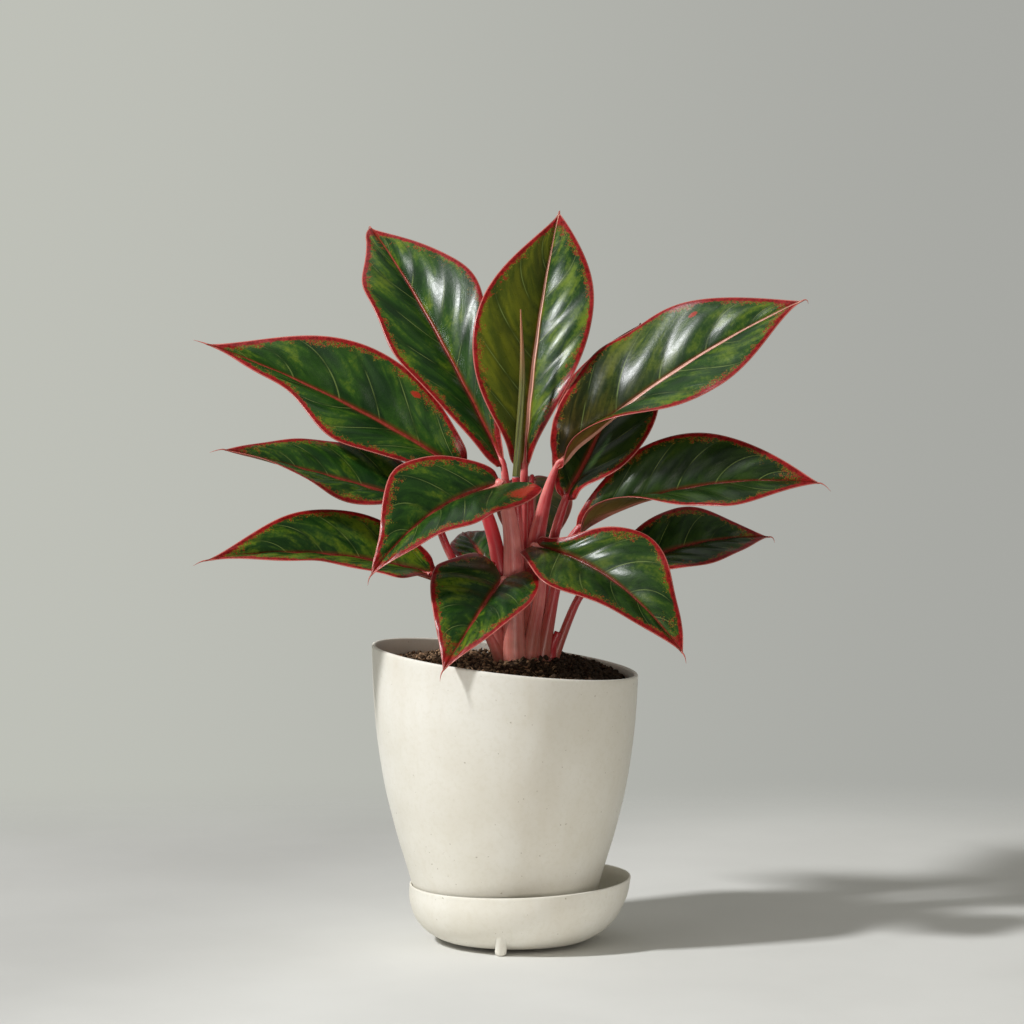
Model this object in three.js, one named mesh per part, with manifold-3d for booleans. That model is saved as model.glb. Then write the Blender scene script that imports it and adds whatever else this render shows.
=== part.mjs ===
// Potted chinese evergreen: a slant-rimmed pot standing in a wider saucer, filled with
// potting soil, with a clump of pink leaf stalks that carry broad pointed leaves.
// Millimetres, +Z up. The construction frame has its origin on the pot's axis at the level
// the saucer's feet stand on. X runs to the right and Y away from the front.
import * as THREE from 'three';
import { mergeVertices } from 'three/addons/utils/BufferGeometryUtils.js';
import Module from 'manifold-3d';

const wasm = await Module();
wasm.setup();

// ---------------------------------------------------------------- driving dimensions
const SEAT_GAP = 0.3;              // clearance kept between pieces that touch
const ROUND_SIDES = 48;            // facets round the pot and the saucer

const POT_TOP = 172;               // height of the pot's blank before the rim is cut
const RIM_HEIGHT = 151;            // rim plane's height on the pot's axis
const RIM_FALL = 0.113;            // fall of the rim plane per mm to the right
const POT_FOOT = 4.6;              // level the pot's foot ring stands on
const POT_UNDERSIDE = 7;
const POT_FLOOR = 10.5;
const DRAIN_RADIUS = 5;
const DRAIN_SIDES = 24;
// outer wall as [radius, height], from the foot ring up
const POT_OUTER = [
  [25, POT_UNDERSIDE], [25.6, POT_FOOT], [28.8, POT_FOOT], [29.8, POT_UNDERSIDE],
  [34.9, 8.2], [38.6, 11.5], [42.6, 15.5], [45.8, 20.8], [48.2, 26], [49.8, 31],
  [57.2, 55], [63.5, 80], [66.6, 98], [69, 118], [71, 160], [71.2, POT_TOP],
];
// inner wall as [radius, height], from the floor up
const POT_INNER = [
  [33, POT_FLOOR], [37.2, 13.2], [40.8, 17], [44, 22.4], [46.2, 28],
  [54.9, 56], [61.2, 81], [64.3, 98.5], [66.7, 118], [68.8, 160], [69, POT_TOP + 4],
];

const SAUCER_X = 7.8;              // the pot stands against the saucer's left rim
const SAUCER_RIM = 32.8;           // rim height at the saucer's centre
const SAUCER_SLOPE = 0.034;        // rise of its rim per mm to the right
const SAUCER_LEAN = 0.1;           // sideways lean of its wall per mm below the rim
const SAUCER_FLOOR = POT_FOOT - SEAT_GAP;
const SAUCER_BOTTOM = 1.9;
const SAUCER_OUTER = [
  [38, SAUCER_BOTTOM], [44.8, 4.6], [50, 8.6], [54, 13.5], [56.9, 19.5], [58.5, 25.7],
  [59, SAUCER_RIM],
];
const SAUCER_INNER = [
  [37.2, SAUCER_FLOOR], [43, 6.5], [48.1, 10.3], [52.3, 14.9], [55.3, 20.2],
  [57.1, 26.1], [57.8, SAUCER_RIM], [58, SAUCER_RIM + 4],
];
const FOOT_ANGLES = [261, 21, 141];  // degrees round the saucer, 270 is the front
const FOOT_FROM = 45;              // distance of a foot's sole from the saucer's centre
const FOOT_TO = 52;                // distance at which it has merged into the bowl
const FOOT_RADIUS = 3.1;
const FOOT_TOP = 12.6;
const FOOT_SIDES = 16;
const FOOT_FLARE = 1.4;            // how late the foot leans out to the bowl

const SOIL_LEVEL = 147;
const SOIL_SLOPE = 0.02;           // fall of the soil per mm to the right
const SOIL_DIP = 0.0045;           // further fall past SOIL_DIP_FROM, per mm squared
const SOIL_DIP_FROM = 20;
const SOIL_MOUND = 4.5;            // height of the mound round the stalks
const SOIL_MOUND_SPREAD = 15;
const SOIL_LUMP = 0.8;
const SOIL_EDGE_INSET = 5;         // soil wall sampled to this far below the surface
const SOIL_RINGS = 6;
const SOIL_SIDES = 36;

const BLADE_THICK = 0.8;
const BLADE_ROWS = 14;
const BLADE_COLUMNS = [-1, -0.72, -0.4, -0.09, 0, 0.09, 0.4, 0.72, 1];
const BLADE_ARCH = 12 * Math.PI / 180;
const BLADE_ROOT_HALF = 2;         // half width where the blade leaves its stalk
const BLADE_TIP_HALF = 0.5;
const ROLL_START = 0.06;           // share of the length over which a rolled root opens
const LOBE_REACH = 0.13;           // share of the length over which a shoulder runs back
const CALM_POWER = 0.7;            // fading of the edge waves towards root and tip
const SWELL_FADE = 0.1;            // share of the length over which a swelling fades in
const BLADE_CORE = 0.1;            // share of the half width that keeps the midrib's direction
const RIB_DEPTH = 1.2;             // midrib standing out of the underside at the root
const RIB_DEPTH_TIP = 0.15;
const STALK_SIDES = 8;
const STALK_STEPS = 7;
const STUB_STEPS = 4;
const NEW_LEAF_STEPS = 12;
const STALK_FIT = 0.4;             // clearance of stalks from blades and soil

// Each blade: spine through root, middle and tip; face, the way its upper side looks;
// then for its left and right half, seen from the stalk with the upper side on top:
// half width, where it is widest, how blunt the root and how slender the point are, the
// angle the half is raised by along the leaf and at its root, how far that reaches, how
// far its shoulder runs back past the stalk, edge waves and local swellings; lift is the
// share of that shoulder by which it also rises.
const BLADE_PLAIN = {
  half: [30, 30], wide: [0.5, 0.5], blunt: [0.8, 0.8], point: [1, 1],
  rise: [15, 15], root: [40, 40], reach: [0.16, 0.16], lobe: [3, 3], lift: 0,
  wave: [0, 0], waves: [2, 2], phase: [0, 0], swell: [[], []], neck: 0.02,
};
const BLADES = {
  leaf_top_left: {
    spine: [[-1, 5, 253], [-41.6, 50, 329.5], [-74.8, 102, 379]], face: [-0.23, -0.85, 0.35],
    half: [31, 30.5], wide: [0.5, 0.52], rise: [45, 10], root: [60, 20],
    blunt: [0.7, 1.3], point: [0.8, 1.3],
    swell: [[[0.66, 2, 0.08], [0.86, -5, 0.1], [0.38, 3.5, 0.1]], [[0.52, 4, 0.12]]],
  },
  leaf_top_middle: {
    spine: [[10, 6, 251], [17, 27, 322], [29, 64, 387]], face: [0, -1, 0.1],
    half: [36, 31], wide: [0.48, 0.58], rise: [18, 25], root: [55, 55],
    blunt: [0.85, 1.2], point: [1.25, 0.95],
  },
  leaf_top_right: {
    spine: [[27, 2, 253], [89, -4, 303], [156, -12, 341]], face: [-0.2, -0.9, 0.45],
    half: [37.5, 31], wide: [0.5, 0.62], rise: [-6, 26], root: [50, 104],
    point: [1.15, 1.4], reach: [0.2, 0.3], swell: [[[0.12, 3, 0.1], [0.33, 5, 0.1]], []],
    wave: [2, 0], waves: [1.19, 2], phase: [0.607, 0],
  },
  leaf_back_right: {
    spine: [[32, 10, 235], [52, 30, 273], [73, 66, 326]], face: [-0.5, -0.8, 0.4],
    half: [30, 37], wide: [0.66, 0.52], rise: [10, 12], root: [50, 50], point: [0.9, 0.9],
  },
  leaf_back_drooping: {
    spine: [[14, 16, 246], [15, 50, 232], [14, 84, 196]], face: [0, 0.4, 0.9],
    half: [21, 22], wide: [0.62, 0.62], rise: [10, 10], root: [30, 30],
    blunt: [1.3, 1.3], point: [0.8, 0.8], lobe: [0, 0],
  },
  leaf_right_upper: {
    spine: [[38, 2, 219], [97, -8, 242], [164, -26, 246]], face: [0, -0.75, 0.65],
    half: [30.5, 30], wide: [0.48, 0.66], rise: [24, 30], root: [34, 100],
    blunt: [1, 0.7], point: [1.1, 1], reach: [0.16, 0.33],
    swell: [[], [[0.72, 6, 0.12]]],
  },
  leaf_right_lower: {
    spine: [[56.6, 8, 194], [99, 24, 209], [143, 44, 212]], face: [0, -0.75, 0.65],
    half: [23, 25], rise: [15, 27], root: [30, 50], point: [1.5, 1.2],
  },
  leaf_front_right: {
    spine: [[15, -16, 212], [55, -45, 197], [91, -68, 161.5]], face: [0.2, -0.6, 0.75],
    half: [29, 31], wide: [0.55, 0.4], rise: [34, 15], root: [80, 20], blunt: [0.9, 0.5],
    point: [1, 1.2], reach: [0.22, 0.16], wave: [1.5, 0], waves: [2.5, 2], phase: [0.5, 0],
    swell: [[[0.2, -7, 0.13], [0.48, 3, 0.1], [0.75, -4, 0.12]], [[0.36, 8.5, 0.16]]],
  },
  leaf_front_low: {
    spine: [[-1, -22, 195], [-13, -48, 181], [-32, -74, 153]], face: [-0.1, -0.7, 0.7],
    half: [29, 33], wide: [0.38, 0.36], rise: [22, 18], root: [25, 25], lobe: [8, 15],
    neck: 0.06, blunt: [0.7, 0.7], point: [1.1, 1.1],
  },
  leaf_front_left: {
    spine: [[-2, -14, 244], [-38, -38, 231], [-69, -62, 201]], face: [-0.1, -0.75, 0.6],
    half: [32, 28], wide: [0.42, 0.42], rise: [28, 20], root: [0, 30],
    blunt: [0.6, 0.85], point: [1.1, 1.1], lobe: [22, 3], lift: 0.4,
    swell: [[[0.65, -4, 0.15]], [[0.5, 4, 0.12], [0.8, -3, 0.12]]],
  },
  leaf_left_upper: {
    spine: [[-23, 8, 249.5], [-90, 20, 287.5], [-161, 34, 317]], face: [0.1, -0.87, 0.5],
    half: [28.5, 33.5], wide: [0.42, 0.46], rise: [27, 24], blunt: [0.75, 0.7],
    point: [1.5, 1.3], swell: [[[0.66, -8, 0.13], [0.42, 3, 0.1]], []],
  },
  leaf_left_middle: {
    spine: [[-39, 0, 231], [-95, -12, 249], [-146, -34, 264]], face: [0, -0.5, 0.87],
    half: [21.5, 29], wide: [0.5, 0.34], rise: [14, 14], root: [40, 20],
    blunt: [0.8, 0.5], point: [1.3, 1], wave: [4.5, 0], waves: [1.06, 1], phase: [0.62, 0],
  },
  leaf_left_lower: {
    spine: [[-38, -14, 196], [-98, -30, 209], [-155, -56, 208]], face: [0, -0.59, 0.81],
    half: [27, 28], wide: [0.45, 0.42], rise: [27, 27], root: [40, 30],
    blunt: [0.8, 0.65], point: [1.25, 1.45],
    swell: [[[0.48, -9, 0.12], [0.18, 15, 0.09]], []],
  },
  leaf_back_small: {
    spine: [[-9, -6, 198], [-16, 12, 209], [-23, 36, 215]], face: [-0.2, -0.3, 0.9],
    half: [14, 14], wide: [0.45, 0.45], root: [30, 30],
  },
};

// Each stalk: points from below the soil up to its blade, then the radius at each point.
const STALKS = [
  { path: [[6, 4, 138], [5.6, 4, 152], [3.4, 2, 198], [0.8, 3, 235], [-1, 5, 253]],
    radii: [4, 4, 3, 2.4, 2] },
  { path: [[10, 4, 138], [9.8, 4, 152], [8.7, 4, 203], [9.3, 5, 230], [10, 6, 251]],
    radii: [4, 4, 3, 2.4, 1.8] },
  { path: [[13, 0, 138], [13.5, 0, 152.8], [15.1, 0, 203], [20.4, 1, 232.6], [27, 2, 253]],
    radii: [6, 6, 4.6, 3.2, 2.4] },
  { path: [[15, 4, 138], [15.7, 6, 154.8], [21.5, 8, 194.7], [26.8, 9, 218.7], [32, 10, 235]],
    radii: [4, 4, 3, 2.4, 2] },
  { path: [[12, 6, 138], [12, 8, 160], [13, 9, 200], [13, 10, 232], [14, 16, 246]],
    radii: [3.5, 3.2, 2.6, 2.2, 1.9] },
  { path: [[18, 0, 138], [19.9, 0, 154.4], [25.2, 1, 182], [30.5, 2, 206], [38, 2, 219]],
    radii: [4, 4, 2.7, 2.4, 2] },
  { path: [[22, 3, 138], [26.5, 4, 152.3], [37.9, 6, 180.8], [47.5, 7, 191], [56.6, 8, 194]],
    radii: [2.8, 2.5, 2, 1.8, 1.6] },
  { path: [[12, -3, 138], [13, -4, 156], [17.7, -8, 183], [18.7, -12, 202], [15, -16, 212]],
    radii: [4, 4, 3, 2.4, 2] },
  { path: [[1, -3, 138], [-2.5, -4, 155], [-6.1, -10, 172.5], [-4.5, -16, 186.4], [-1, -22, 195]],
    radii: [4, 4, 3, 2.4, 2] },
  { path: [[5, -5, 138], [4.5, -6, 153.5], [4, -8, 193.6], [2.9, -10, 220], [-2, -14, 244]],
    radii: [6, 6, 5, 4, 2.8] },
  { path: [[2, -1, 138], [0.2, -2, 161], [-2.4, -3, 196], [-9.8, 1, 227], [-23, 8, 249.5]],
    radii: [5, 5, 4, 3.3, 2.2] },
  { path: [[0, -2, 138], [-2.9, -3, 153], [-13.4, -5, 179], [-30, -1, 208], [-39, 0, 231]],
    radii: [3.6, 3.4, 2.6, 2, 1.8] },
  { path: [[1, -3, 138], [-4.5, -6, 156], [-12, -9, 171], [-22, -12, 185], [-38, -14, 196]],
    radii: [3.6, 3.4, 2.8, 2.3, 1.8] },
  { path: [[2, 0, 138], [-1.8, -2, 160.6], [-4, -3, 176.4], [-6, -4, 188], [-9, -6, 198]],
    radii: [3, 3, 2.4, 2, 1.6] },
  { path: [[8, -1, 138], [7.8, -1, 152], [7.4, -2, 200], [6.4, -3, 230], [5.5, -3, 247.5]],
    radii: [3.5, 3.2, 2.6, 2.3, 2.1] },
];
// dry stub of an old leaf beside the clump
const STUB = { path: [[22, 1, 138], [24.2, 2, 151.5], [25.2, 1, 158], [27.9, 1, 165]],
  radii: [2.8, 2.6, 2.2, 1.9] };
// crown that the stalks grow from, standing in the soil
const CROWN_AT = [11, -0.5];
const CROWN_HALF = [14.5, 8];
const CROWN_BOTTOM = 122;
const CROWN_TOP = 152;
const CROWN_SIDES = 20;
// rolled new leaf at the heart of the clump
const NEW_LEAF = { path: [[5.5, -3, 247.9], [7.4, -2.6, 272], [9, -1, 302], [8, 4, 336]],
  radii: [2.1, 1.9, 1.5, 0.4] };

// ---------------------------------------------------------------- small helpers
const vec = (p) => new THREE.Vector3(p[0], p[1], p[2]);

// Solid from points and triangles, turned outward if it came inside out.
function solidFrom(points, triangles) {
  let volume = 0;
  for (const [a, b, c] of triangles) {
    volume += points[a].dot(new THREE.Vector3().crossVectors(points[b], points[c]));
  }
  const faces = volume < 0 ? triangles.map(([a, b, c]) => [a, c, b]) : triangles;
  const mesh = new wasm.Mesh({
    numProp: 3,
    vertProperties: Float32Array.from(points.flatMap((p) => [p.x, p.y, p.z])),
    triVerts: Uint32Array.from(faces.flat()),
  });
  return new wasm.Manifold(mesh);
}

// Solid of a three.js geometry that encloses a volume.
function solidOf(geometry) {
  const bare = new THREE.BufferGeometry();
  bare.setAttribute('position', geometry.getAttribute('position').clone());
  if (geometry.index) {
    bare.setIndex(geometry.index.clone());
  }
  const merged = mergeVertices(bare, 1e-4);
  const place = merged.getAttribute('position');
  const points = [];
  for (let i = 0; i < place.count; i += 1) {
    points.push(new THREE.Vector3().fromBufferAttribute(place, i));
  }
  const triangles = [];
  for (let i = 0; i < merged.index.count; i += 3) {
    const [a, b, c] = [0, 1, 2].map((k) => merged.index.getX(i + k));
    if (a !== b && b !== c && c !== a) {
      triangles.push([a, b, c]);
    }
  }
  return solidFrom(points, triangles);
}

// Turned solid from a list of [radius, height] closed on the axis at both ends.
function turned(profile, sides, move) {
  const first = profile[0];
  const last = profile[profile.length - 1];
  const outline = [[0, first[1]], ...profile, [0, last[1]]].map(
    ([r, z]) => new THREE.Vector2(r, z),
  );
  const geometry = new THREE.LatheGeometry(outline, sides);
  geometry.rotateX(Math.PI / 2);
  if (move) {
    const place = geometry.getAttribute('position');
    for (let i = 0; i < place.count; i += 1) {
      const p = new THREE.Vector3().fromBufferAttribute(place, i);
      move(p);
      place.setXYZ(i, p.x, p.y, p.z);
    }
  }
  return solidOf(geometry);
}

// Closed loft through rings of equal point counts, capped flat at both ends.
function loft(rings) {
  const count = rings[0].length;
  const points = rings.flat();
  const triangles = [];
  for (let i = 0; i + 1 < rings.length; i += 1) {
    for (let j = 0; j < count; j += 1) {
      const k = (j + 1) % count;
      const [a, b] = [i * count + j, i * count + k];
      triangles.push([a, b, b + count], [a, b + count, a + count]);
    }
  }
  for (const [ring, flip] of [[0, true], [rings.length - 1, false]]) {
    const middle = rings[ring].reduce((sum, p) => sum.add(p), new THREE.Vector3());
    points.push(middle.divideScalar(count));
    for (let j = 0; j < count; j += 1) {
      const pair = [ring * count + j, ring * count + (j + 1) % count];
      triangles.push(flip ? [pair[1], pair[0], points.length - 1]
        : [pair[0], pair[1], points.length - 1]);
    }
  }
  return solidFrom(points, triangles);
}

// Round stalk along a smooth path, its radius following the given values.
function stalkSolid({ path, radii }, extra, steps, sides) {
  const curve = new THREE.CatmullRomCurve3(path.map(vec), false, 'centripetal');
  const rings = [];
  for (let i = 0; i <= steps; i += 1) {
    const s = i / steps;
    const at = curve.getPoint(s);
    const along = curve.getTangent(s);
    const across = new THREE.Vector3(1, 0, 0).addScaledVector(along, -along.x).normalize();
    const third = new THREE.Vector3().crossVectors(along, across);
    const spot = s * (radii.length - 1);
    const low = Math.min(Math.floor(spot), radii.length - 2);
    const radius = radii[low] + (radii[low + 1] - radii[low]) * (spot - low) + extra;
    const ring = [];
    for (let j = 0; j < sides; j += 1) {
      const turn = 2 * Math.PI * j / sides;
      ring.push(at.clone()
        .addScaledVector(across, radius * Math.cos(turn))
        .addScaledVector(third, radius * Math.sin(turn)));
    }
    rings.push(ring);
  }
  return loft(rings);
}

// ---------------------------------------------------------------- leaf blades
function halfWidth(s, q, side) {
  const along = q.neck + (1 - q.neck) * s;
  const wide = q.wide[side];
  let share;
  if (along < wide) {
    share = Math.sin(Math.PI / 2 * along / wide) ** q.blunt[side];
  } else {
    share = Math.max(0, Math.sin(Math.PI / 2 * (1 - along) / (1 - wide))) ** q.point[side];
  }
  let width = q.half[side] * share;
  const fade = Math.min(1, s / SWELL_FADE) * Math.min(1, (1 - s) / SWELL_FADE);
  for (const [where, amount, spread] of q.swell[side]) {
    width += amount * Math.exp(-(((s - where) / spread) ** 2)) * fade;
  }
  const least = BLADE_ROOT_HALF + (BLADE_TIP_HALF - BLADE_ROOT_HALF) * s;
  return Math.max(width, least);
}

// Midrib frame at s: the point, the way along, the way up and the way to the left edge.
function spineFrame(s, q) {
  const [root, middle, tip] = q.spine.map(vec);
  const pull = middle.clone().multiplyScalar(2).addScaledVector(root, -0.5)
    .addScaledVector(tip, -0.5);
  const at = root.clone().multiplyScalar((1 - s) ** 2)
    .addScaledVector(pull, 2 * s * (1 - s)).addScaledVector(tip, s * s);
  const along = pull.clone().sub(root).multiplyScalar(2 * (1 - s))
    .addScaledVector(tip.clone().sub(pull), 2 * s).normalize();
  const face = vec(q.face);
  const up = face.addScaledVector(along, -face.dot(along)).normalize();
  return { at, along, up, left: new THREE.Vector3().crossVectors(up, along) };
}

// Point of the blade's middle surface: s runs root to tip, v across, +1 the left edge.
function bladePoint(s, v, q, spill) {
  const { at, along, up, left } = spineFrame(s, q);
  const side = v >= 0 ? 0 : 1;
  const sign = v >= 0 ? 1 : -1;
  const u = Math.abs(v);
  const width = halfWidth(s, q, side) + spill;
  const reach = Math.exp(-((s / q.reach[side]) ** 2)) * (1 - Math.exp(-((s / ROLL_START) ** 2)));
  const raised = (q.rise[side] + (q.root[side] - q.rise[side]) * reach) * Math.PI / 180;
  const start = raised + BLADE_ARCH;
  const end = start - 2 * BLADE_ARCH * u;
  const out = width * (Math.sin(start) - Math.sin(end)) / (2 * BLADE_ARCH);
  const high = width * (Math.cos(end) - Math.cos(start)) / (2 * BLADE_ARCH);
  const calm = Math.sin(Math.PI * s) ** CALM_POWER;
  const ripple = q.wave[side] * calm * u * u
    * Math.sin(2 * Math.PI * (q.waves[side] * s - q.phase[side]));
  const back = q.lobe[side] * Math.exp(-((s / LOBE_REACH) ** 2)) * u * (2 - u);
  return at.addScaledVector(left, sign * out).addScaledVector(up, high + ripple + q.lift * back)
    .addScaledVector(along, -back - spill * (1 - s) + spill * s);
}

// Sheet of even thickness with a midrib under it; spill widens it all round.
function bladeSolid(shape, spill) {
  const q = { ...BLADE_PLAIN, ...shape };
  const columns = BLADE_COLUMNS.length;
  const middle = [];
  for (let i = 0; i <= BLADE_ROWS; i += 1) {
    middle.push(BLADE_COLUMNS.map((v) => bladePoint(i / BLADE_ROWS, v, q, spill)));
  }
  const half = BLADE_THICK / 2 + spill;
  const tops = [];
  const bottoms = [];
  for (let i = 0; i <= BLADE_ROWS; i += 1) {
    for (let j = 0; j < columns; j += 1) {
      const rowA = middle[Math.max(i - 1, 0)][j];
      const rowB = middle[Math.min(i + 1, BLADE_ROWS)][j];
      const colA = middle[i][Math.max(j - 1, 0)];
      const colB = middle[i][Math.min(j + 1, columns - 1)];
      const normal = new THREE.Vector3()
        .crossVectors(colB.clone().sub(colA), rowA.clone().sub(rowB)).normalize();
      if (i === 0 || i === BLADE_ROWS || BLADE_COLUMNS[j] === 0) {
        normal.copy(spineFrame(i / BLADE_ROWS, q).up);
      } else if (Math.abs(BLADE_COLUMNS[j]) < BLADE_CORE) {
        normal.add(spineFrame(i / BLADE_ROWS, q).up).normalize();
      }
      const share = i / BLADE_ROWS;
      const rib = BLADE_COLUMNS[j] === 0 ? RIB_DEPTH + (RIB_DEPTH_TIP - RIB_DEPTH) * share : 0;
      tops.push(middle[i][j].clone().addScaledVector(normal, half));
      bottoms.push(middle[i][j].clone().addScaledVector(normal, -half - rib));
    }
  }
  const points = [...tops, ...bottoms];
  const under = tops.length;
  const triangles = [];
  for (let i = 0; i < BLADE_ROWS; i += 1) {
    for (let j = 0; j + 1 < columns; j += 1) {
      const a = i * columns + j;
      const [b, c, d] = [a + 1, a + columns + 1, a + columns];
      triangles.push([a, b, c], [a, c, d]);
      triangles.push([under + a, under + c, under + b], [under + a, under + d, under + c]);
    }
  }
  const border = [];
  for (let j = 0; j < columns - 1; j += 1) {
    border.push(j);
  }
  for (let i = 0; i < BLADE_ROWS; i += 1) {
    border.push(i * columns + columns - 1);
  }
  for (let j = columns - 1; j > 0; j -= 1) {
    border.push(BLADE_ROWS * columns + j);
  }
  for (let i = BLADE_ROWS; i > 0; i -= 1) {
    border.push(i * columns);
  }
  border.forEach((a, n) => {
    const b = border[(n + 1) % border.length];
    triangles.push([b, a, under + a], [b, under + a, under + b]);
  });
  return solidFrom(points, triangles);
}

// ---------------------------------------------------------------- the pieces
const rimAngle = Math.atan(RIM_FALL);
const CUT_BLOCK = 400;
const cutter = new THREE.BoxGeometry(CUT_BLOCK, CUT_BLOCK, CUT_BLOCK);
cutter.translate(0, 0, CUT_BLOCK / 2);
cutter.rotateY(rimAngle);
cutter.translate(0, 0, RIM_HEIGHT);

const potBlank = turned(POT_OUTER, ROUND_SIDES);
const potHollow = turned(POT_INNER, ROUND_SIDES);
const drain = turned([[DRAIN_RADIUS, 0], [DRAIN_RADIUS, POT_FLOOR + 4]], DRAIN_SIDES);
const pot = potBlank.subtract(potHollow).subtract(solidOf(cutter)).subtract(drain);

// Lean and rising rim of the saucer, applied to a bowl turned about its own axis.
function leanSaucer(p) {
  const level = Math.min(Math.max((p.z - SAUCER_BOTTOM) / (SAUCER_RIM - SAUCER_BOTTOM), 0), 1);
  const rise = SAUCER_SLOPE * p.x * level;
  p.x += SAUCER_X - SAUCER_LEAN * Math.max(SAUCER_RIM - p.z, 0);
  p.z += rise;
}

function footSolid(degrees) {
  const turn = degrees * Math.PI / 180;
  const outward = new THREE.Vector3(Math.cos(turn), Math.sin(turn), 0);
  const sideways = new THREE.Vector3(-Math.sin(turn), Math.cos(turn), 0);
  const levels = [[0, 0.86], [0.6, 1], [4, 1.06], [9, 0.95], [FOOT_TOP, 0.5]];
  const rings = levels.map(([z, swell]) => {
    const away = FOOT_FROM + (FOOT_TO - FOOT_FROM) * (z / FOOT_TOP) ** FOOT_FLARE;
    const lean = SAUCER_X - SAUCER_LEAN * (SAUCER_RIM - z);
    const ring = [];
    for (let j = 0; j < FOOT_SIDES; j += 1) {
      const round = 2 * Math.PI * j / FOOT_SIDES;
      ring.push(new THREE.Vector3(lean, 0, z)
        .addScaledVector(outward, away + FOOT_RADIUS * swell * Math.cos(round))
        .addScaledVector(sideways, FOOT_RADIUS * swell * Math.sin(round)));
    }
    return ring;
  });
  return loft(rings);
}

let saucer = turned(SAUCER_OUTER, ROUND_SIDES, leanSaucer);
for (const degrees of FOOT_ANGLES) {
  saucer = saucer.add(footSolid(degrees));
}
saucer = saucer.subtract(turned(SAUCER_INNER, ROUND_SIDES, leanSaucer));

const blades = {};
const bladeRoom = [];
for (const [name, shape] of Object.entries(BLADES)) {
  blades[name] = bladeSolid(shape, 0);
  bladeRoom.push(bladeSolid(shape, STALK_FIT));
}
const newLeaf = stalkSolid(NEW_LEAF, 0, NEW_LEAF_STEPS, STALK_SIDES);

function crownSolid(extra) {
  const levels = [[CROWN_BOTTOM - extra, 0.55], [CROWN_BOTTOM + 8, 1], [CROWN_TOP - 5, 1],
    [CROWN_TOP + extra, 0.78]];
  return loft(levels.map(([z, share]) => {
    const ring = [];
    for (let j = 0; j < CROWN_SIDES; j += 1) {
      const turn = 2 * Math.PI * j / CROWN_SIDES;
      ring.push(new THREE.Vector3(
        CROWN_AT[0] + (CROWN_HALF[0] * share + extra) * Math.cos(turn),
        CROWN_AT[1] + (CROWN_HALF[1] * share + extra) * Math.sin(turn),
        z,
      ));
    }
    return ring;
  }));
}

function clump(extra) {
  let body = crownSolid(extra);
  for (const stalk of STALKS) {
    body = body.add(stalkSolid(stalk, extra, STALK_STEPS, STALK_SIDES));
  }
  return body.add(stalkSolid(STUB, extra, STUB_STEPS, STALK_SIDES));
}
let stalks = clump(0);
for (const room of bladeRoom) {
  stalks = stalks.subtract(room);
}
stalks = stalks.subtract(stalkSolid(NEW_LEAF, STALK_FIT, NEW_LEAF_STEPS, STALK_SIDES));
const grown = stalks.decompose().sort((a, b) => b.volume() - a.volume());
stalks = grown[0];

function soilTop(x, y) {
  const dip = Math.max(x - SOIL_DIP_FROM, 0);
  const away = (x - CROWN_AT[0]) ** 2 + (y - CROWN_AT[1]) ** 2;
  const mound = SOIL_MOUND * Math.exp(-away / (2 * SOIL_MOUND_SPREAD ** 2));
  const lumps = SOIL_LUMP * (Math.sin(x * 0.31 + y * 0.17) + Math.sin(y * 0.37 - x * 0.12));
  return SOIL_LEVEL - SOIL_SLOPE * x - SOIL_DIP * dip * dip + mound + lumps / 2;
}

const soilWall = POT_INNER.filter(([, z]) => z < SOIL_LEVEL - SOIL_EDGE_INSET)
  .map(([r, z], n) => [r - SEAT_GAP, n === 0 ? z + SEAT_GAP : z]);
const soilEdge = soilWall[soilWall.length - 1][0] + 0.3;
const soilSurface = [];
for (let n = 0; n < SOIL_RINGS; n += 1) {
  soilSurface.push([soilEdge * (1 - n / SOIL_RINGS), POT_TOP]);
}
let soil = turned([...soilWall, ...soilSurface], SOIL_SIDES, (p) => {
  if (p.z > POT_TOP - 1) {
    p.z = soilTop(p.x, p.y);
  }
});
soil = soil.subtract(clump(STALK_FIT));

// ---------------------------------------------------------------- assembly
const group = new THREE.Group();
group.name = 'potted_chinese_evergreen';

function addPiece(name, solid, color, roughness) {
  const raw = solid.getMesh();
  const geometry = new THREE.BufferGeometry();
  const places = new Float32Array(raw.numVert * 3);
  for (let i = 0; i < raw.numVert; i += 1) {
    for (let k = 0; k < 3; k += 1) {
      places[i * 3 + k] = raw.vertProperties[i * raw.numProp + k];
    }
  }
  geometry.setAttribute('position', new THREE.BufferAttribute(places, 3));
  geometry.setIndex(Array.from(raw.triVerts));
  const material = new THREE.MeshStandardMaterial({ color, roughness });
  material.name = name;
  const mesh = new THREE.Mesh(mergeVertices(geometry, 1e-4), material);
  mesh.name = name;
  group.add(mesh);
}

const CREAM = 0xe4ddcb;
addPiece('pot', pot, CREAM, 0.6);
addPiece('saucer', saucer, CREAM, 0.6);
addPiece('soil', soil, 0x5a4334, 0.95);
addPiece('stalks', stalks, 0xc97f72, 0.45);
for (const [name, solid] of Object.entries(blades)) {
  addPiece(name, solid, 0x2f5a2a, 0.4);
}
addPiece('new_leaf', newLeaf, 0xb9b47a, 0.45);

// Origin at the middle of the whole part's box, on the level the feet stand on.
const reach = new THREE.Box3().setFromObject(group);
const centre = reach.getCenter(new THREE.Vector3());
for (const mesh of group.children) {
  mesh.geometry.translate(-centre.x, -centre.y, -reach.min.z);
}

export default group;
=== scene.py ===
"""Potted chinese evergreen: pot, saucer, soil, stalks and leaves in full detail."""
import math

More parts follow.
